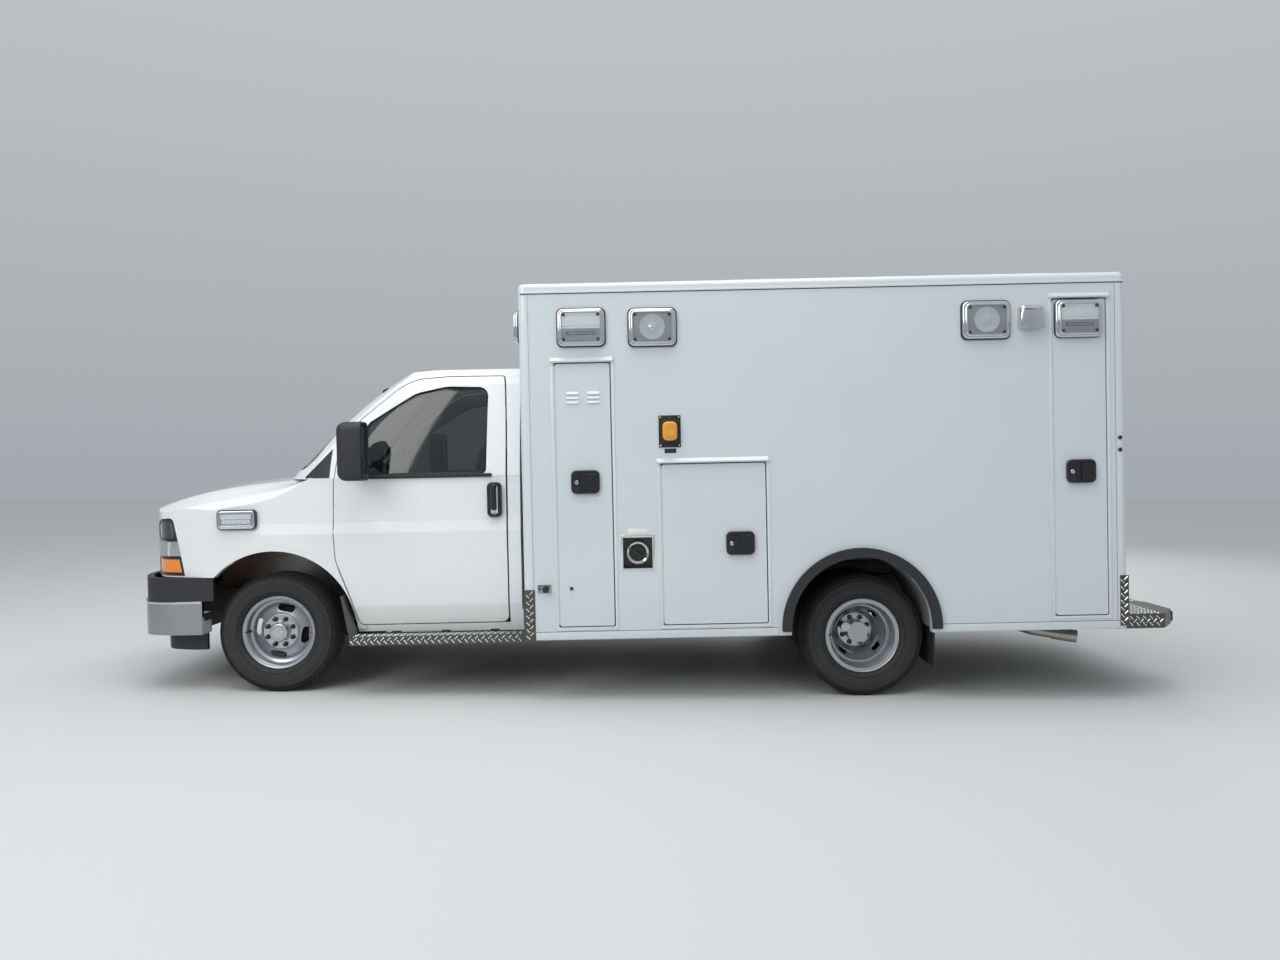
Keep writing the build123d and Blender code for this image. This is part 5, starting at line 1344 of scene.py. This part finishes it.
@dataclass
class BoxSeams(Assembly):
    """Lines where the box's skins meet its rails and corner posts."""

    top: float = 2.341
    bottom: float = 0.345
    half: float = 0.0010
    ease: Span = (0.0007, 0.0002)

    def build(self) -> None:
        """Fits the drip lip under each roof rail, the sill rails and the sealed seams beside the posts, with painted
        shadow lines below the drip lips and above the sill rails.
        """
        top = self.top
        lip = wall_slab("drip_lip_left", (1.548, 5.050), (0.0065, OFF_WALL), (top, top + 0.011), 0.003, 0.002)
        self.fit_pair(lip, SHADED_RAIL_PAINT)
        shade = (0.0014, OFF_WALL)
        # Painted shadow: a black strip just below each drip lip
        line = wall_slab("drip_shadow_left", (1.552, 5.046), shade, (top - 0.0045, top + 0.0005), 0.001, 0.0004)
        self.fit_pair(line, BLACK_PP)
        z = (self.bottom, top - 0.006)
        for word, x in (("front", 1.594), ("rear", 4.996)):
            span = (x - self.half, x + self.half)
            self.fit_pair(wall_slab(f"post_seam_{word}_left", span, (0.0009, 0.0003), z, *self.ease), SEAM_AND_SHADOW_GREY)
        for word, span in (("front", (1.604, 3.018)), ("rear", (3.956, 5.008))):
            rail = wall_slab(f"sill_rail_{word}_left", span, (0.0060, OFF_WALL), (0.327, 0.3705), 0.004, 0.0025)
            self.fit_pair(rail, SHADED_RAIL_PAINT)
            # Painted shadow: a grey line along the top of each sill rail
            line = wall_slab(f"sill_shadow_{word}_left", span, shade, (0.3700, 0.3745), 0.001, 0.0004)
            self.fit_pair(line, SEAM_AND_SHADOW_GREY)
        for side in Side:
            y = side.value * 1.148
            low, high = (BOX_REAR_X + 0.0003, y - self.half, z[0]), (BOX_REAR_X + 0.0009, y + self.half, z[1])
            self.fit(moulded(f"rear_seam_{side.word}", low, high, Form(*self.ease)), SEAM_AND_SHADOW_GREY)


# Cab

CAB_HALF_W = 1.006
LEFT_DOOR = "cab_door_left_body"


def node_copy(node: str, name: str, threshold: float = WELD) -> Piece:
    """A welded copy of a CAD node's mesh, in the row frame.

    Args:
        node: The CAD node.
        name: The copy's name.
        threshold: Points nearer than this are merged.

    Returns:
        The copy, riding on nothing yet.
    """
    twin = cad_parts[node].copy()
    twin.data = twin.data.copy()
    twin.parent = None
    twin.matrix_world = Matrix.Identity(4)
    twin.name = name
    twin.data.materials.clear()
    bpy.context.scene.collection.objects.link(twin)
    twin.hide_render = twin.hide_viewport = False
    twin.hide_set(False)
    with editing(twin, every=True):
        bpy.ops.mesh.remove_doubles(threshold=threshold)
    return twin


def rim_of(sheet: Piece, width: float, outward: Vector, out: float = 0.004) -> Piece:
    """Cuts a copied lens or glass down to the rim of its outer face.

    Args:
        sheet: The copy.
        width: Width of the rim that stays.
        outward: The way that the outer face looks.
        out: The rim's thickness.

    Returns:
        The rim.
    """
    with editing(sheet):
        pick_faces(sheet, lambda c, n: n.dot(outward) >= 0.35)
        bpy.ops.mesh.select_all(action="INVERT")
        bpy.ops.mesh.delete(type="FACE")
        bpy.ops.mesh.select_all(action="SELECT")
        bpy.ops.mesh.dissolve_limited(angle_limit=math.radians(2.0))
        bpy.ops.mesh.select_all(action="SELECT")
        bpy.ops.mesh.inset(thickness=width, depth=0, use_boundary=True)
        bpy.ops.mesh.delete(type="FACE")
    return thickened(sheet, out)


@dataclass
class GlassSeals(Assembly):
    """Black rubber round the cab's glass, grown from the glass itself."""

    side_width: float = 0.013
    screen_width: float = 0.030
    weld: float = 1e-4
    smooth: float = 60

    def build(self) -> None:
        """Fits the seals of both side windows and the windscreen."""
        for side in Side:
            glass = node_copy(f"cab_door_glass_{side.word}", f"window_seal_{side.word}", self.weld)
            seal = rim_of(glass, self.side_width, Vector((0, side.value, 0)))
            self.fit(seal, BLACK_PP, body=f"cab_door_{side.word}_body", tipped=False, smooth=self.smooth)
        glass = node_copy("windscreen", "windscreen_seal", self.weld)
        seal = rim_of(glass, self.screen_width, Vector((-0.75, 0, 0.66)))
        self.fit(seal, BLACK_PP, tipped=False, smooth=self.smooth)


@dataclass
class CabTrim(Assembly):
    """Handles, quarter plates, belt strips, fender lamps and wipers of the cab."""

    y: float = -CAB_HALF_W
    # Rise and run of the windscreen for each metre up the glass
    rise: float = 0.63
    run: float = 0.777

    def build(self) -> None:
        """Fits everything on the cab's outside above the bumper."""
        self.handles()
        self.quarter()
        strip = moulded("belt_strip_left", (0.500, -0.992, 1.284), (1.330, -0.974, 1.306), Form(0.004, 0.003))
        self.fit_pair(strip, BLACK_PP, LEFT_DOOR)
        self.fender_lamps()
        self.wipers()

    def slab(self, name: str, x: Span, off: Span, z: Span, *form: float, **steps: int) -> Piece:
        """A moulded piece on the cab's left side; off gives how far its face and its back stand off it."""
        return moulded(name, (x[0], self.y - off[0], z[0]), (x[1], self.y - off[1], z[1]), Form(*form, **steps))

    def handles(self) -> None:
        """Upright pull handle in its black cup, with the lock at its foot."""
        cup = self.slab("door_cup_left", (1.304, 1.392), (0.019, -0.012), (1.040, 1.252), 0.030, 0.008, corner_steps=8)
        recess(cup, Axis.Y, -1, 0.015, 0.012, 0.003)
        bar = self.slab("door_bar_left", (1.330, 1.362), (0.030, 0.012), (1.082, 1.238), 0.012, 0.007, rim_steps=4)
        rows = [(-0.008, 0.012), (-0.017, 0.012), (-0.019, 0.0105), (-0.019, 0.007), (-0.0175, 0.0001)]
        lock = moved(turned("door_lock_left", rows, steps=28), (1.347, self.y, 1.062))
        self.fit_pair(joined("door_handle_left", [cup, bar]), BLACK_ABS, LEFT_DOOR)
        self.fit_pair(lock, CHROME, LEFT_DOOR)

    def skin(self, x: float, z: float) -> float:
        """How far out the left side of the cab shell stands, from a ray sent in from the left."""
        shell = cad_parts["cab_shell"]
        start = shell.matrix_world.inverted() @ (TIP @ Vector((x, -1.5, z)))
        hit, place, _, _ = shell.ray_cast(start, Vector((0, 1, 0)))
        return place.y if hit and place.y < -0.5 else -0.95

    def quarter(self) -> None:
        """Black three-cornered plate between the windscreen post and the door, laid on the shell as it leans."""
        front_x, rear_x, low_z, high_z = 0.19, 0.330, 1.304, 1.43
        front, rear, head = self.skin(front_x, low_z), self.skin(rear_x, low_z), self.skin(rear_x, high_z)
        plate = block("quarter_plate_left", (0.168, -0.005, 1.297), (0.337, 0.008, 1.472))
        with editing(plate):
            pick_edges(plate, lambda a, b: min(a.z, b.z) > 1.46 and max(a.x, b.x) < 0.2)
            bpy.ops.transform.translate(value=(0, 0, -0.168))
        lean = Matrix.Identity(4)
        lean[1][0], lean[1][2] = (rear - front) / 0.140, (head - rear) / 0.126
        lean[1][3] = rear - lean[1][0] * rear_x - lean[1][2] * low_z
        plate.data.transform(lean)
        self.fit_pair(softened(plate, 0.002), BLACK_PP)

    def fender_lamps(self) -> None:
        """Small LED warning lamps in chrome bezels on the fenders."""
        gasket = self.slab("fender_gasket_left", (-0.325, -0.090), (0.0150, -0.030), (0.995, 1.117), 0.026, 0.003)
        bezel = self.slab("fender_bezel_left", (-0.319, -0.096), (0.0235, 0.0120), (1.001, 1.111), 0.022, 0.006)
        recess(bezel, Axis.Y, -1, 0.013, 0.0070, 0.002)
        lens = self.slab("fender_lens_left", (-0.302, -0.113), (0.0228, 0.0215), (1.018, 1.094), 0.010, 0.0004)
        cells = [self.slab("fender_band", (-0.300, -0.115), (0.0195, 0.0162), (1.060, 1.091), 0.004, 0.001)]
        for i in range(9):
            low = (-0.2915 + i * 0.0190, self.y - 0.0195, 1.034)
            cell = block("fender_cell", low, (-0.2755 + i * 0.0190, self.y - 0.0162, 1.056))
            recess(cell, Axis.Y, -1, 0.0015, 0.0016, 0.003)
            cells.append(cell)
        self.fit_pair(gasket, BLACK_ABS)
        self.fit_pair(bezel, CHROME)
        self.fit_pair(lens, CLEAR_LENS)
        self.fit_pair(joined("fender_cells_left", cells), LED_WHITE)

    def on_screen(self, y: float, up: float, out: float) -> tuple[float, float, float]:
        """A place on the windscreen.

        Args:
            y: Sideways place.
            up: Distance up the glass from its lower edge.
            out: Distance off the glass.

        Returns:
            The place in body coordinates.
        """
        foot_x, foot_z = -0.052 + 0.32 * y * y, 1.330 + 0.047 * y * y
        return (foot_x + self.run * up - self.rise * out, y, foot_z + self.rise * up + self.run * out)

    def wipers(self) -> None:
        """Two wipers parked on the foot of the glass, each on its own spindle."""
        for name, spindle, foot, inner, outer in (
            ("wiper_driver", -0.07, 0.026, -0.16, -0.66), ("wiper_passenger", 0.56, -0.020, 0.48, 0.00),
        ):
            middle = (inner + outer) / 2
            blade = [(inner + (outer - inner) * i / 4, 0.075 + 0.05 * i / 4) for i in range(5)]
            elbow = spindle + 0.3 * (middle - spindle)
            bars = [
                bent_rod(f"{name}_{word}", [self.on_screen(y, up, out) for y, up in blade], radius)
                for word, out, radius in (("rubber", 0.006, 0.0045), ("spine", 0.015, 0.0055))
            ]
            path = [(spindle, foot, 0.022), (elbow, foot + 0.040, 0.034), (middle, 0.100, 0.024)]
            arm = bent_rod(f"{name}_arm", [self.on_screen(*place) for place in path], 0.0075)
            rows = [(-0.010, 0.0001), (-0.010, 0.010), (-0.007, 0.015), (0.014, 0.016), (0.016, 0.0001)]
            cap = turned_by(turned(f"{name}_cap", rows, steps=24), 90, Axis.X)
            moved(cap, self.on_screen(spindle, foot, 0.016))
            self.fit(joined(name, [*bars, arm, cap]), BLACK_PP)


@dataclass
class Mirror(Assembly):
    """A tall two-glass mirror: moulded head, two arms and the root that they grow from."""

    x: Span = (0.470, 0.622)
    y: Span = (-1.262, -1.088)
    z: Span = (1.278, 1.622)

    def build(self) -> None:
        """Builds the left mirror and its image."""
        low, high = zip(self.x, self.y, self.z)
        head = moulded("mirror_head_left", low, high, Form(0.048, 0.0, Axis.X, -1, 8))
        with editing(head):
            ease_rim(head, facing(Axis.X, -1), 0.060, 8, profile=0.55)
            ease_rim(head, facing(Axis.X, 1), 0.006, 3)
        recess(head, Axis.X, 1, 0.010, 0.012, 0.001)
        arms = []
        for name, x, y, z, end_z in (("low", 0.470, -0.955, 1.335, 1.362), ("high", 0.505, -0.925, 1.500, 1.540)):
            path = [(x, y, z), (x + 0.035, -1.03, z + 0.012), (0.560, -1.120, end_z)]
            arms.append(bent_rod(f"mirror_arm_{name}", path, 0.019))
        root = moulded("mirror_root", (0.440, -0.985, 1.312), (0.522, -0.938, 1.372), Form(0.014, 0.008))
        self.fit_pair(joined("mirror_shell_left", [head, *arms, root]), BLACK_PP, LEFT_DOOR, smooth=50)
        form = Form(0.018, 0.001, Axis.X, 1)
        for word, bottom, top in (("upper", 1.388, 1.600), ("lower", 1.300, 1.380)):
            low, high = (0.604, self.y[0] + 0.018, bottom), (0.612, self.y[1] - 0.018, top)
            self.fit_pair(moulded(f"mirror_glass_{word}_left", low, high, form), MIRROR_GLASS, LEFT_DOOR)


class SailPlate(Assembly):
    """Black plate in the front corner of each side window."""

    def build(self) -> None:
        """Keeps the sail plates that stand in the CAD mirror nodes, without the mirrors outside them."""
        for side in Side:
            plate = node_copy(f"mirror_{side.word}", f"sail_plate_{side.word}")
            drop_faces(plate, lambda c, n: abs(c.y) > 0.985)
            self.fit(plate, BLACK_PP, f"mirror_{side.word}", body=f"cab_door_{side.word}_body", tipped=False)


# Nose


def shell_of(node: str, name: str, keep: Callable[[Vector], bool]) -> Piece:
    """The part of a CAD node whose faces pass a test of their place in body coordinates."""
    piece = node_copy(node, name)
    drop_faces(piece, lambda c, n: not keep(UNTIP @ c))
    return piece


def on_bar(place: Vector) -> bool:
    """Whether a place on the grille lies on its bright bar."""
    return 0.836 < place.z < 0.928 and place.x < -0.55


@dataclass
class Nose(Assembly):
    """Headlamps, marker lamps, grille and bumper trim."""

    # Lenses above this height are headlamps, those below it are markers
    split_z: float = 0.90
    lens_rear_x: float = -0.40
    bead_z: float = 0.550

    def build(self) -> None:
        """Fits each of them."""
        split, rear = self.split_z, self.lens_rear_x
        clear = shell_of("headlamps", "headlamp_lenses", lambda p: p.z > split and p.x < rear)
        self.fit(clear, HEADLAMP_PAINTED_SHADE, "headlamps", tipped=False, smooth=25)
        amber = shell_of("headlamps", "marker_lenses", lambda p: p.z < split)
        self.fit(amber, AMBER_LENS, tipped=False, smooth=25)
        self.surrounds()
        self.fit(shell_of("grille", "grille_bright_bar", on_bar), CHROME, "grille", tipped=False, smooth=25)
        ribs = shell_of("grille", "grille_ribs", lambda p: not on_bar(p))
        self.fit(ribs, GRILLE_GREY, tipped=False, smooth=25)
        self.bumper_edge()

    def surrounds(self) -> None:
        """Black rims round the lenses, grown from the lenses themselves."""
        for side in Side:
            outward = Vector((-0.71, 0.71 * side.value, 0))
            for word, low, high, width in (
                ("headlamp", self.split_z, 1.10, 0.014), ("marker", 0.70, self.split_z, 0.015),
            ):
                lens = shell_of(
                    "headlamps", f"{word}_rim_{side.word}",
                    lambda p: low < p.z < high and p.x < self.lens_rear_x and p.y * side.value > 0,
                )
                self.fit(rim_of(lens, width, outward), BLACK_ABS, tipped=False, smooth=60)

    def bumper_edge(self) -> None:
        """Brighter chrome skin along the bumper's upper edge: a painted highlight over the greyer chrome below it."""
        bead = shell_of("front_bumper", "bumper_bead", lambda p: p.x < -0.90 or abs(p.y) > 0.66)
        level, up = TIP @ Vector((0, 0, self.bead_z)), TIP.to_3x3() @ Vector((0, 0, 1))
        middle_x = FRONT_AXLE_X - 0.30
        with editing(bead, every=True):
            bpy.ops.mesh.bisect(plane_co=level, plane_no=up, clear_inner=True)
            pick_faces(bead, lambda c, n: abs(n.z) > 0.3 or n.dot(Vector((c.x - middle_x, c.y, 0))) < 0)
            bpy.ops.mesh.delete(type="FACE")
        self.fit(softened(thickened(bead, 0.004), 0.0012), CHROME, tipped=False, smooth=40)


# Bright plate


@dataclass
class TreadPlate:
    """Raised bars of rolled tread plate, laid in a herringbone on the sheet's face."""

    pitch: float = 0.040
    bar_length: float = 0.030
    bar_width: float = 0.0080
    bar_height: float = 0.0024
    inset: float = 0.0125

    def bar(self) -> Piece:
        """One raised bar, pointed at its ends and narrower on top."""
        length, width = self.bar_length / 2, self.bar_width / 2
        piece = block("tread_bar", (-length, -width, 0), (length, width, self.bar_height))
        with editing(piece):
            pick_edges(piece, along(Axis.Z))
            bpy.ops.mesh.bevel(offset=self.bar_width * 0.48, segments=2, affect="EDGES")
            pick_faces(piece, facing(Axis.Z, -1))
            bpy.ops.mesh.delete(type="FACE")
            pick_faces(piece, facing(Axis.Z, 1))
            bpy.ops.transform.resize(value=(0.86, 0.5, 1.0))
        return piece

    def patch(self, name: str, width: float, height: float) -> Piece:
        """Bars over a rectangle from the origin to width and height, standing up in Z."""
        pattern = self.bar()
        step = self.pitch / 2
        across = int((width - 2 * self.inset) / self.pitch * 2 + MM)
        up = int((height - 2 * self.inset) / self.pitch * 2 + MM)
        bars = []
        for i in range(across + 1):
            for j in range(i % 2, up + 1, 2):
                twin = turned_by(copy_of(pattern, "tread_bar"), 45 if i % 2 else -45, Axis.Z)
                bars.append(moved(twin, (width / 2 + (i - across / 2) * step, height / 2 + (j - up / 2) * step, 0)))
        bpy.data.objects.remove(pattern)
        return joined(name, bars)


@dataclass
class BrightPlates(Assembly):
    """Tread bars on the running boards, corner guards and rear step, with the step's rubbers and the tailpipe's end."""

    tread: TreadPlate = field(default_factory=TreadPlate)

    def build(self) -> None:
        """Lays the bars on each plate."""
        for name, width, height, turn, at in (
            ("board_top_left", 1.026, 0.100, 0, (0.483, -1.108, 0.3502)),
            ("board_edge_left", 1.026, 0.050, 90, (0.483, -1.1102, 0.299)),
            ("front_guard_left", 0.062, 0.294, 90, (1.537, -1.2099, 0.325)),
            ("rear_guard_left", 0.047, 0.290, 90, (5.012, -1.2099, 0.344)),
            ("step_wing_left", 0.290, 0.470, 0, (5.066, -1.035, 0.3802)),
            ("step_side_left", 0.290, 0.080, 90, (5.066, -1.0402, 0.297)),
        ):
            bars = turned_by(self.tread.patch(name, width, height), turn, Axis.X)
            self.fit_pair(moved(bars, at), TREAD_BRIGHT)
        centre = self.tread.patch("step_centre_tread", 0.386, 1.110)
        self.fit(moved(centre, (5.077, -0.555, 0.3802)), TREAD_BRIGHT, body="rear_step_body")
        form = Form(0.010, 0.006, Axis.X, 1)
        rubber = moulded("step_rubber_left", (5.480, -0.852, 0.298), (5.513, -0.566, 0.362), form)
        self.fit_pair(rubber, MOULDED_RUBBER)
        self.exhaust_tip()

    def exhaust_tip(self) -> None:
        """Slip-on end of the tailpipe, open at its mouth."""
        rows = [
            (-0.110, 0.0325), (-0.110, 0.0358), (-0.104, 0.0368), (0.030, 0.0372), (0.034, 0.0366), (0.034, 0.0338),
            (0.002, 0.0332), (-0.006, 0.0001),
        ]
        tip = turned("exhaust_tip", rows, steps=48)
        run = Vector((0.210, -0.070, -0.030)).normalized()
        tip.data.transform(Vector((0, 1, 0)).rotation_difference(run).to_matrix().to_4x4())
        self.fit(moved(tip, (4.810, -1.000, 0.250)), EXHAUST_STEEL)


# Inside

CLOTH_FRAMES = 20


def swollen(piece: Piece, voxel: float, cap: float) -> Piece:
    """Swells a closed shape like a filled cover.

    Args:
        piece: The closed shape.
        voxel: Remesh size in metres.
        cap: The most that a point may move.

    Returns:
        The same piece, its cloth applied.
    """
    modified(piece, "remesh", "REMESH", mode="VOXEL", voxel_size=voxel)
    before = [v.co.copy() for v in piece.data.vertices]
    cloth = piece.modifiers.new("cloth", "CLOTH")
    cloth.settings.use_pressure = True
    cloth.settings.uniform_pressure_force = 4.0
    cloth.settings.effector_weights.gravity = 0.0
    cloth.point_cache.frame_start = 1
    cloth.point_cache.frame_end = CLOTH_FRAMES
    scene = bpy.context.scene
    for number in range(1, CLOTH_FRAMES + 1):
        scene.frame_set(number)
    apply_modifiers(piece)
    scene.frame_set(1)
    for vertex, start in zip(piece.data.vertices, before):
        shift = vertex.co - start
        if shift.length > cap:
            vertex.co = start + shift.normalized() * cap
    return piece


def cushion(
    name: str, low: Point, high: Point, rounding: float = 0.03, voxel: float = 0.010, cap: float = 0.014
) -> Piece:
    """Args:
        name: The cushion's name.
        low: Its smallest X, Y and Z in metres.
        high: Its largest.
        rounding: Width of its rounded edges.
        voxel: As in swollen.
        cap: As in swollen.

    Returns:
        The cushion.
    """
    piece = modified(block(name, low, high), "round", "BEVEL", width=rounding, segments=3)
    return swollen(piece, voxel, cap)


class CabInterior(Assembly):
    """The padded seats on their frames."""

    def build(self) -> None:
        """Fits the seats' cushions, backs, head rests and frames."""
        for side in Side:
            word = side.word
            y = side.value * 0.450
            seat = cushion(f"seat_cushion_{word}", (0.858, y - 0.250, 0.862), (1.190, y + 0.250, 0.985))
            back = cushion(f"seat_back_{word}", (-0.060, y - 0.245, 0.0), (0.060, y + 0.245, 0.560))
            moved(turned_by(back, 15.5, Axis.Y), (1.140, 0, 0.945))
            rest = cushion(f"head_rest_{word}", (1.236, y - 0.130, 1.520), (1.330, y + 0.130, 1.700))
            for piece in (seat, back, rest):
                self.fit(piece, SEAT_CLOTH, smooth=180)
        frames = shell_of("cab_seats", "seat_frames", lambda p: p.z <= 0.88)
        self.fit(frames, CHASSIS_BLACK, "cab_seats", tipped=False)


class PatientRoom(Assembly):
    """The squad bench's pad."""

    def build(self) -> None:
        """Lays the bench pad on its box."""
        pad = cushion("bench_pad", (3.155, 0.645, 1.181), (4.345, 1.150, 1.245), 0.02, 0.012, 0.012)
        self.fit(pad, BENCH_VINYL, smooth=180)


@dataclass
class Studio:
    """Floor, light and the camera at the photograph's place."""

    floor_size: float = 60.0
    camera_at: tuple[float, float, float] = (FRONT_AXLE_X + 2.2, -6.8, 1.4)
    pitch_down: float = 1.07
    lens: float = 27.06

    def build(self) -> None:
        """Makes the floor, the lamps, the world and the camera."""
        floor = started("studio_floor", bpy.ops.mesh.primitive_plane_add, size=self.floor_size)
        material = bpy.data.materials.new("studio_floor_pale")
        material.use_nodes = True
        shader = material.node_tree.nodes["Principled BSDF"]
        shader.inputs["Base Color"].default_value = linear("C9CBCB")
        shader.inputs["Roughness"].default_value = 0.9
        floor.data.materials.append(material)
        self.sky()
        for name, at, aim, size, power in (
            ("overhead", (-1.0, -2.5, 8.5), (0, 0, 0.8), 7.0, 430.0),
            ("left_side", (-5.5, -8.0, 5.5), (-0.5, 0, 1.0), 4.5, 240.0),
            ("right_side", (4.0, 8.5, 5.5), (0, 0, 1.0), 5.0, 240.0),
        ):
            lamp = bpy.data.lights.new(name, "AREA")
            lamp.energy = power
            lamp.size = size
            turn = (Vector(aim) - Vector(at)).to_track_quat("-Z", "Y").to_euler()
            self.held(name, lamp, at, turn)
        lens = bpy.data.cameras.new("photo_camera")
        lens.lens = self.lens
        lens.sensor_width = 36.0
        lens.clip_end = 200.0
        turn = (math.radians(90 - self.pitch_down), 0, 0)
        bpy.context.scene.camera = self.held("photo_camera", lens, self.camera_at, turn)

    def sky(self) -> None:
        """A world that is pale above and greyer towards the horizon."""
        world = bpy.data.worlds.new("studio_world")
        bpy.context.scene.world = world
        world.use_nodes = True
        tree = world.node_tree
        direction = add_node(tree, "ShaderNodeTexCoord").outputs["Generated"]
        height = add_node(tree, "ShaderNodeSeparateXYZ", {"Vector": direction}).outputs["Z"]
        ramp = add_node(tree, "ShaderNodeValToRGB", {"Fac": height})
        ramp.color_ramp.elements[0].color = linear("BFC5CB")
        ramp.color_ramp.elements[1].color = linear("F1F4F8")
        ramp.color_ramp.elements[1].position = 0.75
        tree.links.new(ramp.outputs["Color"], tree.nodes["Background"].inputs["Color"])
        tree.nodes["Background"].inputs["Strength"].default_value = 0.72

    def held(self, name: str, data: bpy.types.ID, at: Point, turn: Point) -> Piece:
        """Puts a lamp or a camera in its place in the scene."""
        holder = bpy.data.objects.new(name, data)
        bpy.context.scene.collection.objects.link(holder)
        holder.location = at
        holder.rotation_euler = turn
        return holder


def main() -> None:
    """Builds the studio, dresses the CAD nodes and fits every sub-assembly in order."""
    bpy.context.scene.view_settings.view_transform = "Standard"
    Studio().build()
    dress_nodes()
    for assembly in (
        Wheels(), BoxDoors(), BoxLamps(), BoxFittings(), BoxSeams(), GlassSeals(), CabTrim(), SailPlate(), Mirror(),
        Nose(), BrightPlates(), CabInterior(), PatientRoom(),
    ):
        LOG.info("building %s", type(assembly).__name__)
        assembly.build()


if __name__ == "__main__":
    main()
